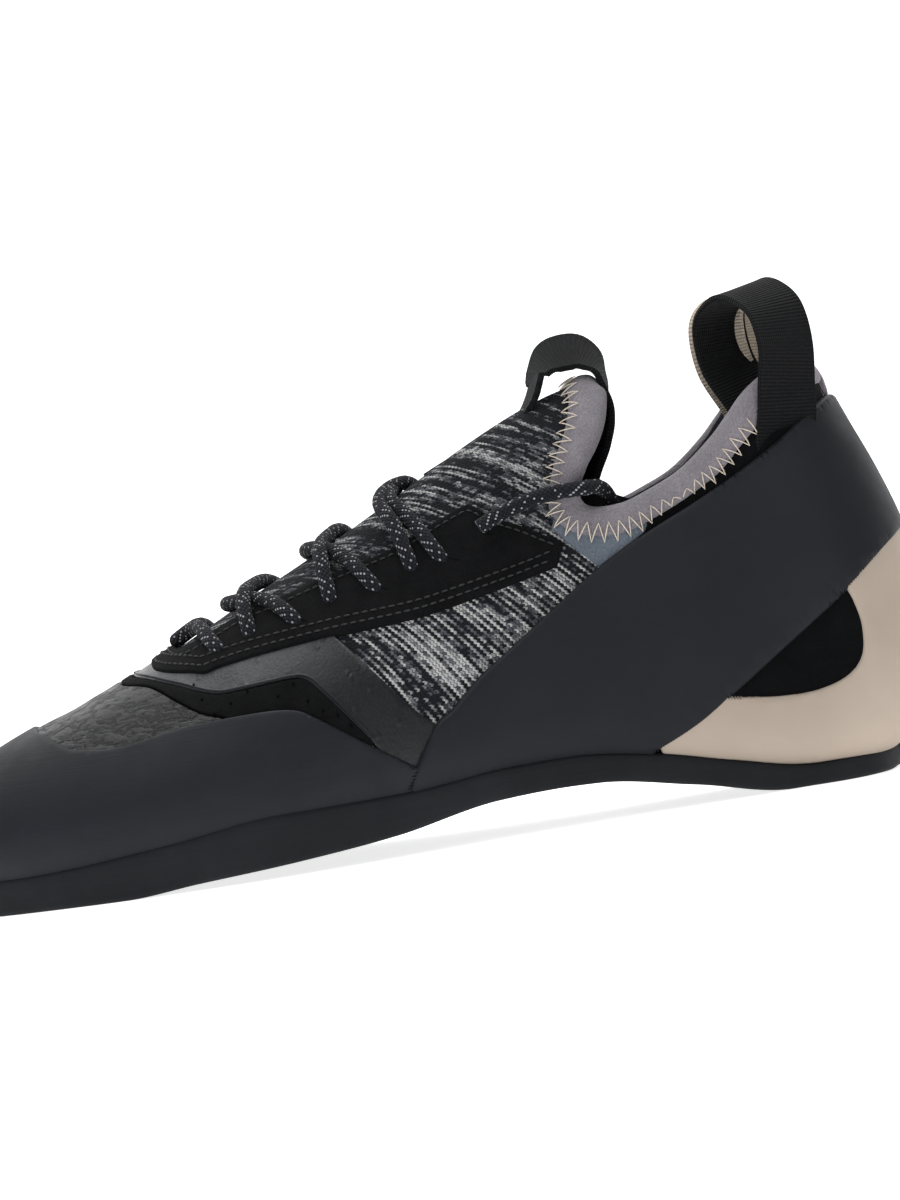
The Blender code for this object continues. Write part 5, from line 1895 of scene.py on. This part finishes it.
@dataclass
class Collar:
    """The padded binding down the tongue and round the collar."""

    dresser: Dresser
    pitch: float = 0.00150
    tooth_ends: tuple[Share, Share] = ((0.0031, 0.00190), (-0.0016, 0.0009))
    thread: float = 0.00016
    last_tooth: float = 0.876
    back_stations: Share = (23.45, 24.25)
    shares: tuple[float, ...] = tuple(k * 0.02 - 0.40 for k in range(71))
    section: tuple[Share, ...] = (
        (0.0, 0.0002), (0.06, 0.0009), (0.2, 0.0014), (0.45, 0.0017), (0.7, 0.0014), (0.87, 0.0007),
        (0.965, -0.0004), (1.0, -0.0014), (0.965, -0.0024), (0.87, -0.0031), (0.7, -0.0035), (0.45, -0.0036),
        (0.2, -0.0034), (0.05, -0.0029), (0.0, -0.0012),
    )

    def edges(self, side: Side) -> tuple[np.ndarray, np.ndarray]:
        """Stations and turns of the band's lower and upper edge on one side.

        Args:
            side: The side.

        Returns:
            The lower and the upper edge.
        """
        at = np.linspace(0, len(BINDING_LOW) - 1, 420)
        pairs = []
        for table in (BINDING_LOW, BINDING_HIGH):
            curve = spline(table, at)
            line = np.column_stack([LAST.x(curve[:, 0]), curve[:, 1] * LAST.instep])
            pairs.append(LAST.locate(line, side, 0.0))
        good = np.flatnonzero((pairs[0][2] < 0.0004) & (pairs[1][2] < 0.0004))
        sets = []
        for station, turn, _ in pairs:
            station, turn = station[good], turn[good]
            back = 3 * RIDGE if side is Side.OUTER else -RIDGE
            station = np.concatenate([[station[0]], station, [self.back_stations[len(sets)]]])
            turn = np.concatenate([[RIDGE], turn, [back]])
            sets.append(np.column_stack([station, turn]))
        return sets[0], sets[1]

    def loop(self) -> tuple[np.ndarray, np.ndarray]:
        """The band's two edges as closed loops of stations and turns.

        Returns:
            The lower and the upper edge.
        """
        outer, inner = self.edges(Side.OUTER), self.edges(Side.INNER)
        loops = []
        for out, back in zip(outer, inner):
            back = back[::-1].copy()
            back[:, 1] = back[:, 1] + 2 * math.pi
            loops.append(np.vstack([out, back[1:]]))
        return loops[0], loops[1]

    def build(self) -> None:
        """Builds the band and its zigzag seam."""
        low, high = self.loop()
        middle = LAST.place(*((low + high) / 2).T, 0.0)
        run = runs(middle)
        places = np.linspace(0, run[-1], 520)
        low = np.column_stack([np.interp(places, run, low[:, k]) for k in range(2)])
        high = np.column_stack([np.interp(places, run, high[:, k]) for k in range(2)])
        section = spline(self.section + (self.section[0],), np.linspace(0, len(self.section), 46))
        rows = []
        for share, lift in section:
            spot = low + (high - low) * share
            rows.append(LAST.place(spot[:, 0], spot[:, 1], np.full(len(spot), lift)))
        points = np.stack(rows, axis=1)
        girth = runs(points[0])
        cloth = np.stack(np.meshgrid(places, girth, indexing="ij"), axis=-1)
        band = laid_grid("collar_binding_pad", points, cloth)
        smooth(band, 60)
        self.dresser.dress(band, JERSEY, "binding", ("collar_binding",))
        # The band's inner half takes the dark lining finish: partly the lining's own colour, partly painted
        # shade inside the collar.
        band.data.materials.append(self.dresser.material(LINING))
        inner = girth[int(np.argmin(np.abs(section[:, 0] - 0.90) + 10 * (section[:, 1] > -0.0014)))]
        flat = band.data.uv_layers.active.data
        for face in band.data.polygons:
            around = sum(flat[k].uv[1] for k in face.loop_indices) / len(face.loop_indices)
            face.material_index = int(around > inner)
        self.build_zigzag(low, high, places)

    def build_zigzag(self, low: np.ndarray, high: np.ndarray, places: np.ndarray) -> None:
        """The zigzag seam along the band's lower edge, its teeth even and square to the edge.

        Args:
            low: Stations and turns of the band's lower edge.
            high: Stations and turns of its upper edge.
            places: Distance along the band of each.
        """
        fine = np.linspace(0, places[-1], 2400)
        low, high = (
            np.column_stack([np.interp(fine, places, edge[:, k]) for k in range(2)]) for edge in (low, high)
        )
        edge = LAST.place(low[:, 0], low[:, 1], 0.0)
        run = runs(edge)
        web = np.stack([LAST.place(*(low + (high - low) * share).T, 0.0) for share in self.shares], axis=1)
        up = LAST.place(*(low + (high - low) * 0.2).T, 0.0) - edge
        ends = []
        for k, place in enumerate(np.arange(0, run[-1], self.pitch)):
            i = int(np.clip(np.searchsorted(run, place), 12, len(run) - 13))
            ahead = edge[i + 12] - edge[i - 12]
            across = unit(up[i] - ahead * (ahead @ up[i]) / (ahead @ ahead))
            reach, lift = self.tooth_ends[k % 2]
            near = web[max(i - 45, 0):i + 46]
            gap = np.linalg.norm(near - (edge[i] + across * reach), axis=2)
            row, column = np.unravel_index(np.argmin(gap), gap.shape)
            row += max(i - 45, 0)
            spot = low[row] + (high - low)[row] * self.shares[column]
            ends.append(LAST.place(spot[0], spot[1], lift))
        teeth = [pair for pair in zip(ends[:-1], ends[1:]) if pair[1][0] < LAST.x(self.last_tooth)]
        seam = stitches("zigzag_seam", teeth, self.thread, 0.00028)
        self.dresser.dress(seam, CREAM, "")


def stitches(name: str, pairs: Pairs, radius: float, rise: float) -> bpy.types.Object:
    """Many short stitches in one mesh, each a thread that rises in its middle.

    Args:
        name: The piece's name.
        pairs: Start and end of each stitch.
        radius: Half the thread's thickness.
        rise: How far the middle stands over the ends.

    Returns:
        The new piece.
    """
    bpy.ops.object.select_all(action="DESELECT")
    bpy.ops.mesh.primitive_cylinder_add(vertices=6, radius=1, depth=1, end_fill_type="NGON")
    start = bpy.context.active_object
    bpy.ops.object.mode_set(mode="EDIT")
    bpy.ops.mesh.select_all(action="DESELECT")
    bpy.ops.object.mode_set(mode="OBJECT")
    for edge in start.data.edges:
        a, b = (start.data.vertices[k].co for k in edge.vertices)
        edge.select = abs(a.z - b.z) > 0.5
    bpy.ops.object.mode_set(mode="EDIT")
    bpy.ops.mesh.select_mode(type="EDGE")
    bpy.ops.mesh.subdivide(number_cuts=3)
    bpy.ops.mesh.select_mode(type="VERT")
    bpy.ops.object.mode_set(mode="OBJECT")
    shape = np.array([tuple(vertex.co) for vertex in start.data.vertices])
    faces = [list(face.vertices) for face in start.data.polygons]
    bpy.data.objects.remove(start, do_unlink=True)
    taper = 1 - 0.55 * (2 * np.abs(shape[:, 2])) ** 4
    vertices, all_faces = [], []
    for first, last in pairs:
        first, last = np.asarray(first), np.asarray(last)
        ahead = last - first
        middle = (first + last) / 2
        out = middle - np.array([middle[0], 0.004, 0.045])
        out -= ahead * (ahead @ out) / max(ahead @ ahead, 1e-12)
        out = unit(out)
        across = unit(np.cross(ahead, out))
        arch = rise * (1 - (2 * shape[:, 2]) ** 2)
        made = (
            middle + ahead * shape[:, 2:3]
            + across * (shape[:, :1] * radius * taper[:, None])
            + out * (shape[:, 1:2] * radius * taper[:, None] + arch[:, None])
        )
        base = len(vertices)
        vertices.extend(made.tolist())
        all_faces.extend([[base + k for k in face] for face in faces])
    mesh = bpy.data.meshes.new(name)
    mesh.from_pydata(vertices, [], all_faces)
    piece = added(name, mesh)
    tidy_faces(piece, 1e-9)
    smooth(piece, 70)
    return piece


@dataclass
class SeamRow:
    """A row of short stitches along a side outline."""

    name: str
    line: np.ndarray
    lift: float
    length: float = 0.0016
    gap: float = 0.0006
    radius: float = 0.00022

    def pairs(self) -> Pairs:
        """Start and end of each stitch on both sides of the shoe.

        Returns:
            The starts and ends.
        """
        found = []
        for side in Side:
            station, turn, miss = LAST.locate(evenly(self.line, 0.0004), side, self.lift)
            good = miss < NEAR
            points = LAST.place(station[good], turn[good], self.lift)
            run = runs(points)
            start = 0.0
            while start + self.length < run[-1]:
                ends = [
                    np.array([np.interp(at, run, points[:, k]) for k in range(3)])
                    for at in (start, start + self.length)
                ]
                found.append(tuple(ends))
                start += self.length + self.gap
        return found

    def build(self) -> bpy.types.Object:
        """Builds the row."""
        return stitches(self.name, self.pairs(), self.radius, 0.00012)


@dataclass
class Trim:
    """Seams, holes, cuts and the film's rim on the overlays."""

    dresser: Dresser
    hole: float = 0.00055
    cut: float = 0.00042
    rim: float = 0.00032

    def build(self) -> None:
        """Builds the trim."""
        low, high = LAST.side_line(EYESTAY_LOW), LAST.side_line(EYESTAY_HIGH)
        rows = (
            ("stay_seam_low", aside(low, 0.0017), 0.00155),
            ("stay_seam_second", aside(low, 0.0036), 0.00155),
            ("stay_seam_high", aside(high, -0.0017), 0.00155),
        )
        for name, line, lift in rows:
            self.dresser.dress(SeamRow(name, between(line, 0.268, 0.666), lift).build(), DARK_THREAD, "")
        self.build_slits()
        self.build_holes()
        self.build_rim()

    def build_holes(self) -> None:
        """The small round holes in the strip."""
        pairs = []
        for side in Side:
            middle = LAST.place(*LAST.spots(PERFORATIONS, side, 0.0012), 0.00115)
            pairs += [(point - (0.0003, 0, 0), point + (0.0003, 0, 0)) for point in middle]
        self.dresser.dress(stitches("strip_holes", pairs, self.hole, 0.0), HOLE_BLACK, "microsuede")

    def build_rim(self) -> None:
        """The film's raised rim along the strip."""
        line = between(aside(LAST.side_line(STRIP_BACK), 0.0005), 0.230, 0.466)
        for side in Side:
            station, turn, miss = LAST.locate(line, side, 0.0009)
            good = miss < NEAR
            station, turn = station[good], turn[good]
            route = LAST.place(station, turn, 0.00100)
            wide, thick = frames(route, LAST.normal(station, turn))
            rim = swept(f"film_rim_{side.value}", route, wide, thick, round_section(self.rim, 8))
            self.dresser.dress(rim, FILM, "film")

    def build_slits(self) -> None:
        """The short cuts in the suede behind each rear eyelet."""
        pairs = []
        for side in Side:
            for slit in SLITS:
                pairs.append(tuple(LAST.place(*LAST.spots(slit, side, 0.0015), 0.00135)))
        self.dresser.dress(stitches("eyelet_slits", pairs, self.cut, 0.0), BLACK_PANEL, "suede")


@dataclass
class Loops:
    """The webbing loops at the heel and on the tongue."""

    dresser: Dresser
    thickness: float = 0.0014
    heel_width: float = 0.0155
    tongue_width: float = 0.0160
    foot_lift: float = 0.0012
    strap_turn: float = 72.0
    strap_lift: float = 0.0004
    fold_depth: float = 0.012
    fold_wall: float = 0.0012

    def route(self, table: Table) -> np.ndarray:
        """World points of a route's shares."""
        return np.array([(LAST.x(along), -side * LAST.width, up * LAST.instep) for along, side, up in table])

    def foot(self, side: Side) -> np.ndarray:
        """World points where a heel loop's outer leg lies on the upper, under the sling's edge."""
        return LAST.place(*LAST.spots(HEEL_LOOP_FOOT, side, self.foot_lift), FOOT_LIFTS)

    def level(self) -> Place:
        """Direction across the outer heel loop's foot, mostly level with the upper there."""
        x, y, _ = LAST.normal(*LAST.spots(HEEL_LOOP_FOOT[1:2], Side.OUTER, self.foot_lift))[0]
        return 0.2 - 0.75 * float(y), 0.14 + 0.75 * float(x), 0.0

    def band(
        self, name: str, table: np.ndarray, width: float, across: Sequence[tuple[float, Place]],
    ) -> bpy.types.Object:
        """A strip of webbing along a route.

        Args:
            name: The piece's name.
            table: World points that the strip's middle passes.
            width: The strip's width.
            across: Places along the strip from 0 to 1, each with the direction across it there.

        Returns:
            The new piece.
        """
        points = evenly(spline(table, np.linspace(0, len(table) - 1, 200)), 0.0008)
        share = np.linspace(0, 1, len(points))
        stops = [stop[0] for stop in across]
        hint = np.column_stack([np.interp(share, stops, [stop[1][k] for stop in across]) for k in range(3)])
        wide, thick = frames(points, hint)
        half, flat = width / 2, self.thickness / 2
        section = []
        for x in np.linspace(-1, 1, 15):
            section.append((x * (half - 0.0004), -flat * (1 + 0.12 * abs(x) ** 6)))
        section.append((half, 0.0))
        for x in np.linspace(1, -1, 15):
            section.append((x * (half - 0.0004), flat * (1 + 0.12 * abs(x) ** 6)))
        section.append((-half, 0.0))
        return swept(name, points, wide, thick, np.array(section))

    def build(self) -> None:
        """Builds the three loops."""
        near = np.vstack([self.foot(Side.OUTER), self.route(HEEL_LOOP)])
        level = self.level()
        turns = (
            (0, level), (0.10, level), (0.3, (0.85, 0.50, 0.12)), (0.55, (0.85, 0.50, 0.17)),
            (1, (0.85, 0.45, 0.17)),
        )
        outer = self.band("heel_loop_black", near, self.heel_width, turns)
        self.dresser.dress(outer, TAPE_BLACK, "webbing_black", ("heel_loop_outer",))
        other = tuple(
            (along - INNER_LOOP_AHEAD, 2 * HEEL_MIDDLE - side, up - INNER_LOOP_DOWN)
            for along, side, up in HEEL_LOOP
        )
        far = np.vstack([self.foot(Side.INNER), self.route(other)])
        turns = tuple((stop, (x, -y, z)) for stop, (x, y, z) in turns)
        inner = self.band("heel_loop_beige", far, self.heel_width, turns)
        self.dresser.dress(inner, TAPE_BEIGE, "webbing_beige", ("heel_loop_inner",))
        stations = np.linspace(8, 22, 400)
        turn = np.full(400, math.radians(self.strap_turn))
        x = LAST.skin(stations, turn)[:, 0]
        on_tongue = np.interp([LAST.x(along) for along in TONGUE_STRAP], x, stations)
        strap = LAST.place(on_tongue, turn[:len(on_tongue)], self.strap_lift)
        turns = (
            (0, (0, 0.95, -0.30)), (0.24, (0, 0.95, -0.2)), (0.5, (0, 0.86, 0.51)), (1, (0, 0.86, 0.51)),
        )
        middle = np.vstack([strap, self.route(TONGUE_LOOP)])
        tongue = self.band("tongue_loop_tape", middle, self.tongue_width, turns)
        self.dresser.dress(tongue, TAPE_BLACK, "webbing_black", ("tongue_loop",))
        self.build_fold()

    def build_fold(self) -> None:
        """The fold of black lining inside the notch, between the tongue and the far collar."""
        top = spline(LINING_FOLD, np.linspace(0, len(LINING_FOLD) - 1, 41))
        x, z = LAST.x(top[:, 0]), top[:, 1] * LAST.instep
        points = np.array([
            [(a, 0.0125 + 0.10 * (a + 0.052), b - down) for a, b in zip(x, z)]
            for down in np.linspace(0, self.fold_depth, 13)
        ])
        fold = laid_grid("lining_fold", points, points[..., [0, 2]].copy())
        thicken(fold, self.fold_wall, 0)
        smooth(fold, 50)
        self.dresser.dress(fold, LINING, "binding")


@dataclass
class Outsole:
    """The outsole, with a rounded lower edge and a lip at its seam."""

    dresser: Dresser
    stands_out: float = 0.0023
    heel_out: float = 0.0025
    heel_round: float = 0.022
    fullness: float = 2.6

    def outline(self, count: int = 170) -> np.ndarray:
        """Plan outline of the sole, ring-wise.

        Args:
            count: Places along each side.

        Returns:
            The ring's points.
        """
        turns = np.radians(np.arange(-90, 270, 2.0))
        s, t = np.meshgrid(np.linspace(0.02, LAST_STATION, 320), turns, indexing="ij")
        grid = LAST.skin(s, t) + self.stands_out * LAST.normal(s, t)
        sides = []
        for columns in (range(180, 135, -1), range(0, 45)):
            found = []
            for row in grid:
                line = row[[k % 180 for k in columns]]
                above = line[:, 2] - LAST.seam(line[:, 0])
                if above[0] < 0 < above[-1]:
                    k = int(np.argmax(above > 0))
                    share = above[k - 1] / (above[k - 1] - above[k])
                    found.append((line[k - 1] + (line[k] - line[k - 1]) * share)[:2])
            sides.append(np.array(sorted(found, key=lambda point: point[0])))
        outer, inner = sides
        first = min(outer[:, 0].min(), inner[:, 0].min())
        last = max(outer[:, 0].max(), inner[:, 0].max()) + self.heel_out
        turn = np.linspace(0, math.pi, count)
        x = (first + last) / 2 - (last - first) / 2 * np.cos(turn)
        low = np.interp(x, outer[:, 0], outer[:, 1])
        high = np.interp(x, inner[:, 0], inner[:, 1])
        low[0] = high[0] = (low[0] + high[0]) / 2
        over = np.clip((x - last + self.heel_round) / self.heel_round, 0, 1)
        heel = (1 - over**self.fullness) ** (1 / self.fullness)
        low, high = (low + high) / 2 - (high - low) / 2 * heel, (low + high) / 2 + (high - low) / 2 * heel
        ring = np.vstack([np.column_stack([x, low]), np.column_stack([x, high])[-2:0:-1]])
        return evenly(ring, 0.0012, closed=True)

    def build(self) -> None:
        """Builds the sole as stacked rings."""
        ring = self.outline()
        ahead = unit(np.roll(ring, -2, axis=0) - np.roll(ring, 2, axis=0))
        inward = np.column_stack([-ahead[:, 1], ahead[:, 0]])
        centre = np.column_stack([ring[:, 0], np.full(len(ring), ring[:, 1].mean())])
        levels = []
        for share in (1.0, 0.75, 0.5, 0.25, 0.08):
            plan = ring + inward * 0.0016
            plan = plan + (centre - plan) * share * np.array([0.0, 1.0])
            levels.append((plan, LAST.tread(plan[:, 0])))
        for inset, up in ((0.0016, 0.0), (0.0011, 0.0001), (0.0006, 0.0004), (0.0002, 0.0009), (0.0, 0.0016)):
            plan = ring + inward * inset
            levels.append((plan, LAST.tread(plan[:, 0]) + up))
        for share, inset in ((0.3, 0.0), (0.6, 0.0), (0.85, 0.00005), (0.95, 0.0003), (1.0, 0.0008)):
            plan = ring + inward * inset
            low, high = LAST.tread(ring[:, 0]) + 0.0016, LAST.seam(ring[:, 0])
            levels.append((plan, low + (high - low) * share))
        for inset, down in ((0.0023, 0.0004), (0.006, 0.0030)):
            plan = ring + inward * inset
            levels.append((plan, LAST.seam(ring[:, 0]) - down))
        plan = centre.copy()
        levels.append((plan, LAST.seam(plan[:, 0]) - 0.0035))
        points = np.stack([np.column_stack([plan, up]) for plan, up in levels])
        points = np.concatenate([points, points[:, :1]], axis=1)
        run = runs(points[8])
        drop = runs(points[:, 5])
        cloth = np.stack(np.meshgrid(drop, run, indexing="ij")[::-1], axis=-1)
        sole = laid_grid("outsole_rubber", points, cloth)
        smooth(sole, 50)
        self.dresser.dress(sole, RUBBER_TREAD, "rubber_tread", ("outsole",))


def main() -> None:
    """Builds the shoe's looks in order."""
    logging.basicConfig(level=logging.INFO, format="%(message)s")
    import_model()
    Studio().build()
    dresser = Dresser({})
    lacing = Lacing(dresser)
    lacing.build_ends()
    lacing.build_runs()
    Bootie(dresser).build()
    Overlays(dresser).build()
    Collar(dresser).build()
    Trim(dresser).build()
    Loops(dresser).build()
    Outsole(dresser).build()


if __name__ == "__main__":
    main()
